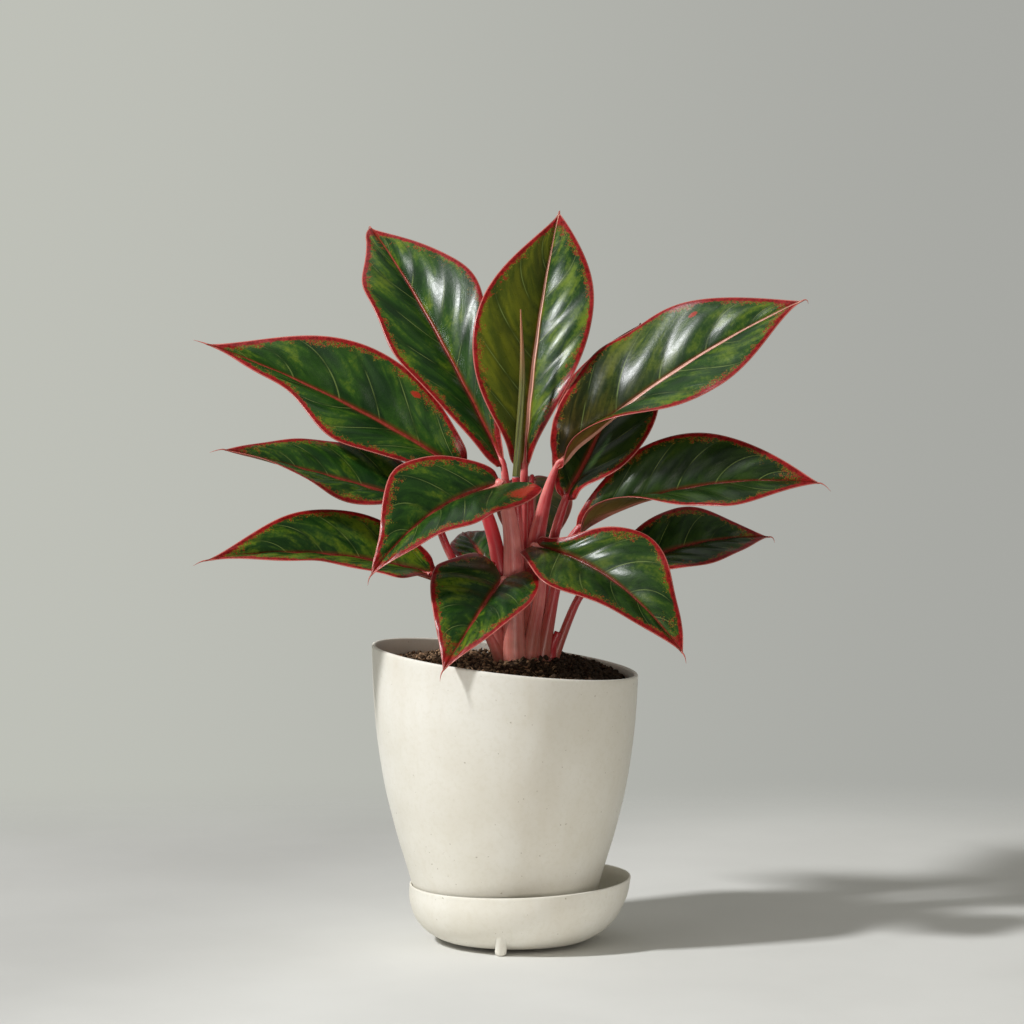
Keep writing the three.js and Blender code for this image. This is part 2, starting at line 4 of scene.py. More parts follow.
import bpy
import numpy as np
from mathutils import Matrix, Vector


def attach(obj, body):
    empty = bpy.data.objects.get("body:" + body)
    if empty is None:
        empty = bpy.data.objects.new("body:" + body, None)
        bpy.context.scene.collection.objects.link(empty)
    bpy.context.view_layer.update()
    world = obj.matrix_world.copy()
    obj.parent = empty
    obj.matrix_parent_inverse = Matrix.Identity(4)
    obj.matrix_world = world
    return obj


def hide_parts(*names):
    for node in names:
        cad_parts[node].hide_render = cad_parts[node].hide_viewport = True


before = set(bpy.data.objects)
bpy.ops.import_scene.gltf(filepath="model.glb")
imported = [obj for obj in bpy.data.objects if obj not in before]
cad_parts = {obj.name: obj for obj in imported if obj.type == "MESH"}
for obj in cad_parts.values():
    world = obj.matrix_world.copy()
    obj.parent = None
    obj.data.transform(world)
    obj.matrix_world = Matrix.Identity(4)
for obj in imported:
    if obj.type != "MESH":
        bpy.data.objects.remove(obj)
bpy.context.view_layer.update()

MM = 0.001
rng = np.random.default_rng(11)

# ---- places and sizes, mm
FOOT_RING_LEVEL = 5.5  # the pot's foot ring is all that lies below this


def pot_axis():
    ring = np.array([v.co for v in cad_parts["pot"].data.vertices])
    ring = ring[ring[:, 2] < FOOT_RING_LEVEL * MM]
    return ring.mean(axis=0) / MM


AXIS = pot_axis()
SHIFT = np.array([AXIS[0], AXIS[1], 0.0])

RIM_HEIGHT = 151.0
RIM_FALL = 0.113
POT_WALL = 2.2
POT_TOP_RADIUS = 71  # radius at the rim's highest side
POT_OUTER = [
    (28.8, 4.6), (29.8, 7.0), (34.9, 8.2), (38.6, 11.5), (42.6, 15.5), (45.8, 20.8),
    (48.2, 26.0), (49.9, 31.0), (53.2, 42.0), (57.2, 55.0), (60.4, 67.0), (63.5, 80.0),
    (66.6, 98.0), (69.0, 118.0), (70.3, 138.0), (71.0, 160.0),
]
POT_FOOT = [
    (20.0, 7.0), (24.6, 7.0), (25.1, 5.2), (25.9, 4.6), (28.2, 4.6), (28.9, 5.2), (29.4, 6.6),
    (30.6, 7.15),
]
POT_SIDE_FROM = 8.4  # height at which the side begins
POT_INSIDE = [(30, 10.5), (5, 10.5), (5, 7.0)]  # floor and the wall of the drain hole
POT_INSIDE_FROM = 14.0  # height at which the inner side ends
POT_TAPER = 0.6  # how much thicker the wall is at its foot
LIP_POINTS = (9, 7)  # points round the lip of the pot and of the saucer
ROUND_SIDES = 160  # sides of the pot and the saucer
UNEVEN = 0.12  # of the pot's side
SAUCER_X = 7.8
SAUCER_RIM = 32.8
SAUCER_SLOPE = 0.034
SAUCER_LEAN = 0.1
SAUCER_BOTTOM = 1.9
SAUCER_FLOOR = 4.3
SAUCER_OUTER = [
    (0.5, 1.9), (30.0, 1.9), (38.0, 1.9), (44.8, 4.6), (50.0, 8.6), (54.0, 13.5), (56.9, 19.5),
    (58.5, 25.7), (59.0, 32.8),
]
SAUCER_INNER = [
    (57.8, 32.8), (57.1, 26.1), (55.3, 20.2), (52.3, 14.9), (48.1, 10.3), (43.0, 6.5),
    (37.2, 4.4), (30.0, 4.3), (0.5, 4.3),
]
FOOT_ANGLES = (261.0, 21.0, 141.0)
FOOT_FROM = 45.5
FOOT_TO = 52.0
FOOT_RADIUS = 3.1
FOOT_TOP = 15.0
FOOT_WIDE = ((0, 0.45), (0.35, 0.75), (1.0, 0.92), (2.2, 1.0), (6, 1.0), (10, 1.15), (15, 1.5))
FOOT_DEEP = ((0, 0.45), (0.35, 0.75), (1.0, 0.95), (2.2, 1.02), (6, 1.04), (10, 1.0), (15, 0.5))

SOIL_LEVEL = 147.0
SOIL_SLOPE = 0.02
SOIL_DIP = 0.0045
SOIL_DIP_FROM = 20.0
SOIL_MOUND = 4.5
SOIL_MOUND_SPREAD = 15.0
SOIL_EDGE = 68.1
SOIL_WALL = [(28.0, 11.0), (42.0, 24.0), (53.0, 60.0), (62.0, 105.0), (67.0, 138.0)]
SOIL_BOTTOM = 11.0
CRUMBS = 3000
LUMP = (1.0, 1.0, 0.8)  # sizes of a round crumb and of a chip
CHIP = (2.6, 0.55, 0.4)
DARK_FROM, DARK_SPREAD = 22, 12  # where the dark, lumpy soil begins on the right
CROWN_AT = (11.0, -0.5)
CROWN_HALF = (14.5, 8.0)
CROWN_PROFILE = [  # height and share of the crown's half sizes
    (124, 0.3), (126, 0.7), (132, 1.0), (146, 1.0), (150, 0.94), (152.5, 0.7), (153.5, 0.3),
]

BLADE_ARCH = math.radians(12.0)
ROLL_START = 0.06  # share of the blade in which the fold at its root sets in
LOBE_REACH = 0.13
LOBE_START = 0.035
ROOT_HALF = 2.0
TIP_HALF = 0.35
BLADE_THICK = 0.5
THIN_EDGE = 0.8  # from here the blade thins out to its edge
PUFF = 1.0  # how far the blade swells between two side veins
CREASE = 0.5  # how deep the midrib lies in the upper side
RIB_DEPTH, RIB_SPREAD = 1.9, 1.5  # the rib on the underside
FRILL = 0.5  # how far the edge ripples with the side veins
SWAY = 0.9  # how far the blade bends at random
ROWS = 130
HALF_COLUMNS = 34
ROW_CROWDING = 0.019  # how much closer the rows lie at root and tip
# tone: a blade's yellow share, and how far it is darkened towards near black, which paints shade
# on blades away from the light as well as their dull tone
BLADE_PLAIN = dict(
    half=(30, 30), wide=(0.5, 0.5), blunt=(0.8, 0.8), point=(1, 1), rise=(15, 15),
    root=(40, 40), reach=(0.16, 0.16), lobe=(3, 3), lift=0, wave=(0, 0),
    waves=(2, 2), phase=(0, 0), swell=((), ()), neck=0.02, veins=6, tone=(0.5, 0.0),
    hair=(0, 0, -3), through_light=(0, 0), umber_shade=0.0, umber_shade_to=0.3, rib=0.25, blotch=(),
)
BLADES = {
    "leaf_top_left": dict(
        spine=((-1, 5, 253), (-41.6, 50, 329.5), (-74.8, 102, 379)), face=(-0.23, -0.85, 0.35),
        half=(31, 30.5), wide=(0.5, 0.52), rise=(45, 10), root=(60, 20),
        blunt=(0.7, 1.3), point=(0.8, 1.3),
        swell=(((0.66, 2, 0.08), (0.84, -3.5, 0.12), (0.38, 3.5, 0.1)), ((0.52, 4, 0.12),)),
        tone=(0.5, 0.1)),
    "leaf_top_middle": dict(
        spine=((10, 6, 251), (17, 27, 322), (29, 64, 387)), face=(0, -1, 0.1),
        half=(36, 31), wide=(0.48, 0.58), rise=(18, 25), root=(55, 55),
        blunt=(0.85, 1.2), point=(1.25, 0.95), tone=(0.75, 0.1),
        through_light=(0.75, 0), rib=1.0),
    "leaf_top_right": dict(
        spine=((27, 2, 253), (89, -4, 303), (156, -12, 341)), face=(-0.2, -0.9, 0.45),
        half=(37.5, 31), wide=(0.5, 0.62), rise=(-6, 26), root=(50, 104),
        point=(1.15, 1.4), reach=(0.2, 0.3), swell=(((0.12, 3, 0.1), (0.33, 5, 0.1)), ()),
        wave=(2, 0), waves=(1.19, 2), phase=(0.607, 0),
        tone=(0.6, 0.1), umber_shade=1.0, umber_shade_to=0.4, rib=0.85, blotch=((0.65, 0.72, 3.4),)),
    "leaf_back_right": dict(
        spine=((32, 10, 235), (52, 30, 273), (73, 66, 326)), face=(-0.5, -0.8, 0.4),
        half=(30, 37), wide=(0.66, 0.52), rise=(10, 12), root=(50, 50), point=(0.9, 0.9),
        tone=(0.2, 0.6)),
    "leaf_back_drooping": dict(
        spine=((14, 16, 246), (15, 50, 232), (14, 84, 196)), face=(0, 0.4, 0.9),
        half=(21, 22), wide=(0.62, 0.62), rise=(10, 10), root=(30, 30),
        blunt=(1.3, 1.3), point=(0.8, 0.8), lobe=(0, 0), tone=(0.4, 0.1)),
    "leaf_right_upper": dict(
        spine=((38, 2, 219), (97, -8, 242), (164, -26, 246)), face=(0, -0.75, 0.65),
        half=(30.5, 30), wide=(0.48, 0.66), rise=(24, 30), root=(34, 100),
        blunt=(1, 0.7), point=(1.1, 1), reach=(0.16, 0.33),
        swell=((), ((0.72, 6, 0.12),)), tone=(0.15, 0.55), rib=0.1,
        hair=(3, -1, -4)),
    "leaf_right_lower": dict(
        spine=((56.6, 8, 194), (99, 24, 209), (143, 44, 212)), face=(0, -0.75, 0.65),
        half=(23, 25), rise=(15, 27), root=(30, 50), point=(1.5, 1.2), tone=(0.35, 0.45), rib=0.1),
    "leaf_front_right": dict(
        spine=((15, -16, 212), (55, -45, 197), (91, -68, 161.5)), face=(0.2, -0.6, 0.75),
        half=(29, 31), wide=(0.55, 0.4), rise=(34, 15), root=(80, 20), blunt=(0.9, 0.5),
        point=(1, 1.2), reach=(0.22, 0.16), wave=(1.5, 0), waves=(2.5, 2), phase=(0.5, 0),
        swell=(((0.2, -7, 0.13), (0.48, 3, 0.1), (0.75, -4, 0.12)), ((0.36, 8.5, 0.16),)),
        tone=(0.4, 0.35), rib=0.12),
    "leaf_front_low": dict(
        spine=((-1, -22, 195), (-13, -48, 181), (-32, -74, 153)), face=(-0.1, -0.7, 0.7),
        half=(29, 33), wide=(0.38, 0.36), rise=(22, 18), root=(25, 25), lobe=(10, 18),
        neck=0.06, blunt=(0.7, 0.7), point=(1.1, 1.1), tone=(0.7, 0.1)),
    "leaf_front_left": dict(
        spine=((-2, -14, 244), (-38, -38, 231), (-69, -62, 201)), face=(-0.1, -0.75, 0.6),
        half=(32, 28), wide=(0.42, 0.42), rise=(28, 20), root=(0, 30),
        blunt=(0.44, 0.85), point=(1.1, 1.1), lobe=(22, 3), lift=0.4,
        swell=(((0.65, -4, 0.15),), ((0.5, 4, 0.12), (0.8, -3, 0.12))), tone=(0.45, 0.1),
        blotch=((0.05, 0.95, 11),)),
    "leaf_left_upper": dict(
        spine=((-23, 8, 249.5), (-90, 20, 287.5), (-161, 34, 317)), face=(0.1, -0.87, 0.5),
        half=(28.5, 33.5), wide=(0.42, 0.46), rise=(27, 24), blunt=(0.75, 0.7),
        point=(1.5, 1.3), swell=(((0.66, -8, 0.13), (0.42, 3, 0.1)), ()), tone=(0.4, 0.1),
        hair=(-4, 0, 1), blotch=((0.27, -0.76, 3.8),)),
    "leaf_left_middle": dict(
        spine=((-39, 0, 231), (-95, -12, 249), (-146, -34, 264)), face=(0, -0.5, 0.87),
        half=(21.5, 29), wide=(0.5, 0.34), rise=(14, 14), root=(40, 20),
        blunt=(0.8, 0.5), point=(1.3, 1), wave=(4.5, 0), waves=(1.06, 1), phase=(0.62, 0),
        tone=(0.55, 0.0), hair=(-5, -1, -2)),
    "leaf_left_lower": dict(
        spine=((-38, -14, 196), (-98, -30, 209), (-155, -56, 208)), face=(0, -0.59, 0.81),
        half=(27, 28), wide=(0.45, 0.42), rise=(27, 27), root=(40, 30),
        blunt=(0.8, 0.65), point=(1.25, 1.45),
        swell=(((0.48, -9, 0.12), (0.18, 15, 0.09)), ()), tone=(0.75, 0.1),
        hair=(-3, -1, -2)),
    "leaf_back_small": dict(
        spine=((-9, -6, 198), (-16, 12, 209), (-23, 36, 215)), face=(-0.2, -0.3, 0.9),
        half=(14, 14), wide=(0.45, 0.45), root=(30, 30), tone=(0.3, 0.2)),
}

# stalks: points from the soil up to the blade, radius at each point, share of deep red, partly
# their own colour and partly painted shade on the stalks further back
STALKS = [
    (((6, 4, 138), (5.6, 4, 152), (3.4, 2, 198), (0.8, 3, 235), (-1, 5, 253)),
     (4, 4, 3, 2.3, 1.6), 0.5),
    (((10, 4, 138), (9.8, 4, 152), (8.7, 4, 203), (9.3, 5, 230), (10, 6, 251)),
     (4, 4, 3, 2.4, 1.8), 0.4),
    (((13, 0, 138), (13.5, 0, 152.8), (15.1, 0, 203), (20.4, 1, 232.6), (27, 2, 253)),
     (6, 6, 4.6, 3.2, 1.4), 0.55),
    (((15, 4, 138), (15.7, 6, 154.8), (21.5, 8, 194.7), (26.8, 9, 218.7), (32, 10, 235)),
     (4, 4, 3, 2.4, 2), 0.6),
    (((12, 6, 138), (12, 8, 160), (13, 9, 200), (13, 10, 232), (14, 16, 246)),
     (3.5, 3.2, 2.6, 2.0, 1.2), 0.7),
    (((18, 0, 138), (19.9, 0, 154.4), (25.2, 1, 182), (30.5, 2, 206), (38, 2, 219)),
     (4, 4, 2.7, 2.4, 2), 0.7),
    (((22, 3, 138), (26.5, 4, 152.3), (37.9, 6, 180.8), (47.5, 7, 191), (56.6, 8, 194)),
     (2.8, 2.5, 2, 1.8, 1.6), 0.8),
    (((12, -3, 138), (13, -4, 156), (17.7, -8, 183), (18.7, -12, 202), (15, -16, 212)),
     (4, 4, 3, 2.4, 2), 0.2),
    (((1, -3, 138), (-2.5, -4, 155), (-6.1, -10, 172.5), (-4.5, -16, 186.4), (-1, -22, 195)),
     (4, 4, 3, 2.4, 2), 0.3),
    (((5, -5, 138), (4.5, -6, 153.5), (4, -8, 193.6), (2.9, -10, 220), (-2, -14, 244)),
     (6, 6, 5, 4, 2.8), 0.0),
    (((2, -1, 138), (0.2, -2, 161), (-2.4, -3, 196), (-9.8, 1, 227), (-23, 8, 249.5)),
     (5, 5, 4, 3.2, 1.0), 1.0),
    (((0, -2, 138), (-2.9, -3, 153), (-13.4, -5, 179), (-30, -1, 208), (-39, 0, 231)),
     (3.6, 3.4, 2.6, 2, 1.8), 0.7),
    (((1, -3, 138), (-4.5, -6, 156), (-12, -9, 171), (-22, -12, 185), (-38, -14, 196)),
     (3.6, 3.4, 2.8, 2.3, 1.8), 0.5),
    (((2, 0, 138), (-1.8, -2, 160.6), (-4, -3, 176.4), (-6, -4, 188), (-9, -6, 198)),
     (3, 3, 2.4, 2, 1.6), 0.6),
    (((8, -1, 138), (7.8, -1, 152), (7.4, -2, 200), (6.4, -3, 230), (5.5, -3, 247.5)),
     (3.5, 3.2, 2.6, 2.3, 2.1), 0.2),
]
STUB = (((22, 1, 138), (24.2, 2, 151.5), (25.2, 1, 158), (27.9, 1, 165)),
        (2.8, 2.6, 2.2, 1.9), 0.9)
STALK_GRID, STUB_GRID, ROLL_GRID, HAIR_GRID = (84, 28), (26, 20), (90, 36), (16, 8)
CROWN_SIDES = 48
RIB_SHARES = (0.03, 0.07, 0.13, 0.21, 0.32)
RIB_THINNING = (0.85, 0.62, 0.42, 0.28, 0.15)
RIB_SINKING = (0.15, 0.5, 0.85, 1.1, 1.1)
NEW_LEAF = (((5.5, -3, 247.9), (7.4, -2.6, 272), (9, -1, 302), (8, 4, 336)),
            (2.1, 1.9, 1.5, 0.3))


# ---- mesh helpers
def unit(a):
    return a / np.linalg.norm(a, axis=-1, keepdims=True)


def turns(sides):
    return np.linspace(0, math.tau, sides, endpoint=False)


def ring(r, z, turn):
    """Points of one ring about the upright axis, at one height or at a height for each."""
    return np.stack([r * np.cos(turn), r * np.sin(turn), np.broadcast_to(z, turn.shape)], 1)


def run_length(points):
    """Length of the way along the points up to each of them."""
    return np.concatenate([[0], np.cumsum(np.linalg.norm(np.diff(points, axis=0), axis=1))])


def bell(x):
    return np.exp(-x ** 2)


def beside(turn, at):
    """Angle from the place at on a circle, to either side."""
    return np.angle(np.exp(1j * (turn - at)))


def smooth_noise(points, scale, seed, octaves=2):
    """Cheap repeatable smooth noise in about -1..1 from sums of sines."""
    r = np.random.default_rng(seed)
    total = np.zeros(points.shape[:-1])
    size = 1.0
    for _ in range(octaves):
        for _ in range(4):
            way = r.normal(size=3)
            way /= np.linalg.norm(way)
            total += size * np.sin(points @ way * scale + r.uniform(0, math.tau)) / 2.5
        scale *= 2.1
        size *= 0.5
    return total


def link_object(name, data):
    made = bpy.data.objects.new(name, data)
    bpy.context.scene.collection.objects.link(made)
    return made


def add_object(name, points, faces, materials, attributes=None, index=None):
    """One mesh object from points in mm; faces is a list of arrays of 3 or 4 columns."""
    mesh = bpy.data.meshes.new(name)
    place = (points + SHIFT) * MM
    loops = np.concatenate([f.reshape(-1) for f in faces])
    sizes = np.concatenate([np.full(len(f), f.shape[1]) for f in faces])
    starts = np.concatenate([[0], np.cumsum(sizes)[:-1]])
    mesh.vertices.add(len(place))
    mesh.vertices.foreach_set("co", place.astype(np.float32).reshape(-1))
    mesh.loops.add(len(loops))
    mesh.loops.foreach_set("vertex_index", loops.astype(np.int32))
    mesh.polygons.add(len(sizes))
    mesh.polygons.foreach_set("loop_start", starts.astype(np.int32))
    mesh.polygons.foreach_set("use_smooth", np.ones(len(sizes), bool))
    if index is not None:
        mesh.polygons.foreach_set("material_index", np.asarray(index, np.int32))
    mesh.update(calc_edges=True)
    for label, values in (attributes or {}).items():
        values = np.asarray(values, np.float32)
        kind = "FLOAT_VECTOR" if values.ndim == 2 else "FLOAT"
        layer = mesh.attributes.new(label, kind, "POINT")
        layer.data.foreach_set("vector" if values.ndim == 2 else "value", values.reshape(-1))
    for material in materials:
        mesh.materials.append(material)
    mesh.validate()
    return link_object(name, mesh)


def grid_faces(rows, columns, start=0, wrapped=False, flip=False):
    """Quads of a grid of points; wrapped joins the last column to the first."""
    i, j = np.meshgrid(np.arange(rows - 1), np.arange(columns if wrapped else columns - 1),
                       indexing="ij")
    k = (j + 1) % columns
    a = start + i * columns + j
    b = start + i * columns + k
    quads = np.stack([a, b, b + columns, a + columns], axis=-1).reshape(-1, 4)
    return quads[:, ::-1] if flip else quads


def spline(path, count):
    """Catmull-Rom points through the given ones, evenly spaced in parameter."""
    p = np.asarray(path, float)
    p = np.vstack([2 * p[0] - p[1], p, 2 * p[-1] - p[-2]])
    t = np.linspace(0, len(path) - 1, count)
    k = np.minimum(t.astype(int), len(path) - 2)
    f = (t - k)[:, None]
    a, b, c, d = p[k], p[k + 1], p[k + 2], p[k + 3]
    return 0.5 * (2 * b + (c - a) * f + (2 * a - 5 * b + 4 * c - d) * f ** 2
                  + (3 * b - a - 3 * c + d) * f ** 3)


def tube(path, radii, steps, sides, squeeze=None):
    """Points of a round tube along a path, their shares along and round it, and its centre."""
    centre = spline(path, steps)
    radius = np.interp(np.linspace(0, 1, steps), np.linspace(0, 1, len(radii)), radii)
    along = unit(np.gradient(centre, axis=0))
    across = unit(np.array([1.0, 0, 0]) - along * along[:, :1])
    third = np.cross(along, across)
    turn = turns(sides)
    size = np.ones((steps, sides)) if squeeze is None else squeeze(
        np.linspace(0, 1, steps)[:, None], turn[None, :])
    ring = (across[:, None] * np.cos(turn)[None, :, None]
            + third[:, None] * np.sin(turn)[None, :, None])
    points = centre[:, None] + ring * (radius[:, None] * size)[:, :, None]
    share = np.repeat(np.linspace(0, 1, steps)[:, None], sides, 1)
    round_at = np.repeat(turn[None, :] / math.tau, steps, 0)
    return points, share, round_at, centre


class Heap:
    """Collects grids of points into one mesh; index is the material of all or of each array."""

    def __init__(self):
        self.points, self.faces, self.index, self.count = [], [], [], 0
        self.attributes = {}

    def add(self, points, faces, index=0, **attributes):
        points = np.asarray(points).reshape(-1, 3)
        self.points.append(points)
        self.faces += [np.asarray(f) + self.count for f in faces]
        self.index += [np.full(len(f), i)
                       for f, i in zip(faces, np.broadcast_to(index, len(faces)))]
        for label, values in attributes.items():
            self.attributes.setdefault(label, []).append(values)
        self.count += len(points)

    def build(self, name, materials):
        merged = {k: np.concatenate(v) for k, v in self.attributes.items()}
        return add_object(name, np.concatenate(self.points), self.faces, materials, merged,
                          np.concatenate(self.index))


def tube_faces(steps, sides):
    """Faces of a tube's side and of the fans that close it, which use two added points."""
    side = grid_faces(steps, sides, wrapped=True)
    j = np.arange(sides)
    k = (j + 1) % sides
    first = np.stack([k, j, np.full(sides, steps * sides)], 1)
    top = (steps - 1) * sides
    last = np.stack([top + j, top + k, np.full(sides, steps * sides + 1)], 1)
    return [side, first, last]


def closed(points):
    """The points of a tube, with the middle of its first and of its last ring added."""
    return np.vstack([points.reshape(-1, 3), points[0].mean(0), points[-1].mean(0)])


def add_tube(heap, path, radii, steps, sides, squeeze=None, **constants):
    points, share, round_at, centre = tube(path, radii, steps, sides, squeeze)
    all_points = np.vstack([points.reshape(-1, 3), centre[0], centre[-1]])
    values = {
        "along": np.concatenate([share.reshape(-1), [0, 1]]),
        "around": np.concatenate([round_at.reshape(-1), [0, 0]]),
    }
    for label, value in constants.items():
        values[label] = np.full(len(all_points), value, float)
    heap.add(all_points, tube_faces(steps, sides), **values)


# ---- node helpers
class Nodes:
    """Short calls for building the node tree of a material or of the world."""

    def __init__(self, name, family="materials", output="ShaderNodeOutputMaterial"):
        self.owner = getattr(bpy.data, family).new(name)
        self.owner.use_nodes = True
        self.tree = self.owner.node_tree
        self.tree.nodes.clear()
        self.output = self.tree.nodes.new(output)

    def put(self, kind, settings=None, **inputs):
        node = self.tree.nodes.new(kind)
        for key, value in (settings or {}).items():
            setattr(node, key, value)
        for key, value in inputs.items():
            self.feed(node, key.replace("_", " "), value)
        return node

    def feed(self, node, key, value):
        socket = node.inputs[int(key)] if key.isdigit() else node.inputs[key]
        if isinstance(value, bpy.types.NodeSocket):
            self.tree.links.new(value, socket)
        else:
            socket.default_value = (*value, 1.0) if socket.type == "RGBA" else value

    def math(self, operation, a, b=0.0):
        node = self.put("ShaderNodeMath", {"operation": operation}, **{"0": a, "1": b})
        return node.outputs[0]

    def add(self, a, b):
        return self.math("ADD", a, b)

    def sub(self, a, b):
        return self.math("SUBTRACT", a, b)

    def mul(self, a, b):
        return self.math("MULTIPLY", a, b)

    def swing(self, value, amount):
        """A value of 0..1 as a swing to both sides of nothing."""
        return self.mul(self.sub(value, 0.5), amount)

    def weigh(self, a, share_a, b, share_b):
        return self.add(self.mul(a, share_a), self.mul(b, share_b))

    def around(self, turn, radius):
        """Both parts of a place on a circle."""
        return (self.mul(self.math("SINE", turn), radius),
                self.mul(self.math("COSINE", turn), radius))

    def attribute(self, name, output="Fac"):
        return self.put("ShaderNodeAttribute", {"attribute_name": name}).outputs[output]

    def parts(self, name):
        return self.split(self.attribute(name, "Vector"))

    def place(self):
        return self.put("ShaderNodeTexCoord").outputs["Object"]

    def split(self, vector):
        return tuple(self.put("ShaderNodeSeparateXYZ", Vector=vector).outputs)

    def join(self, x, y, z):
        return self.put("ShaderNodeCombineXYZ", X=x, Y=y, Z=z).outputs[0]

    def noise(self, vector, scale, detail=2.0, roughness=0.5, distortion=0.0):
        node = self.put("ShaderNodeTexNoise", Vector=vector, Scale=scale, Detail=detail,
                        Roughness=roughness, Distortion=distortion)
        return node.outputs["Fac"]

    def step(self, value, low, high, to_low=0.0, to_high=1.0):
        node = self.put("ShaderNodeMapRange", {"interpolation_type": "SMOOTHSTEP"},
                        **{"0": value, "1": low, "2": high, "3": to_low, "4": to_high})
        return node.outputs[0]

    def mix(self, share, a, b):
        node = self.put("ShaderNodeMix", {"data_type": "RGBA"}, **{"0": share, "6": a, "7": b})
        return node.outputs[2]

    def ramp(self, value, low, high, a, b):
        """The first colour up to low, the second from high on."""
        return self.mix(self.step(value, low, high), a, b)

    def bump(self, height, strength, distance):
        node = self.put("ShaderNodeBump", Height=height, Strength=strength,
                        Distance=distance)
        return node.outputs[0]

    def show(self, kind, **inputs):
        """Adds a shader and makes it the surface."""
        shader = self.put(kind, **inputs)
        self.tree.links.new(shader.outputs[0], self.output.inputs["Surface"])
        return shader

    def blend(self, share, first, second):
        """Makes a blend of two shaders the surface; share is that of the second."""
        self.show("ShaderNodeMixShader", Fac=share,
                  **{"1": first.outputs[0], "2": second.outputs[0]})

    def surface(self, color, roughness, normal, **more):
        return self.show("ShaderNodeBsdfPrincipled", Base_Color=color, Roughness=roughness,
                         Normal=normal, **more)


# ---- materials
def ceramic_material():
    n = Nodes("cream_ceramic")
    place = n.place()
    cloud = n.noise(place, 14.0, 4.0, 0.6)
    drift = n.noise(n.put("ShaderNodeVectorMath", {"operation": "MULTIPLY"},
                          **{"0": place, "1": (1.0, 1.0, 0.25)}).outputs[0], 38.0, 3.0, 0.6)
    fine = n.noise(place, 420.0, 3.0, 0.6)
    speck = n.step(n.noise(place, 520.0, 1.0, 0.5), 0.765, 0.785)
    color = n.ramp(cloud, 0.3, 0.72, (0.72, 0.69, 0.605), (0.8, 0.78, 0.715))
    color = n.mix(n.mul(n.step(drift, 0.45, 0.75), 0.35), color, (0.66, 0.6, 0.49))
    color = n.mix(n.mul(n.step(fine, 0.45, 0.7), 0.18), color, (0.62, 0.58, 0.46))
    color = n.mix(n.mul(speck, 0.6), color, (0.34, 0.29, 0.21))
    height = n.weigh(cloud, 0.5, fine, 0.35)
    height = n.add(height, n.mul(drift, 0.6))
    rough = n.step(n.noise(place, 60.0, 3.0), 0.3, 0.7, 0.46, 0.62)
    n.surface(color, rough, n.bump(height, 0.25, 0.0007), Specular_IOR_Level=0.35)
    return n.owner


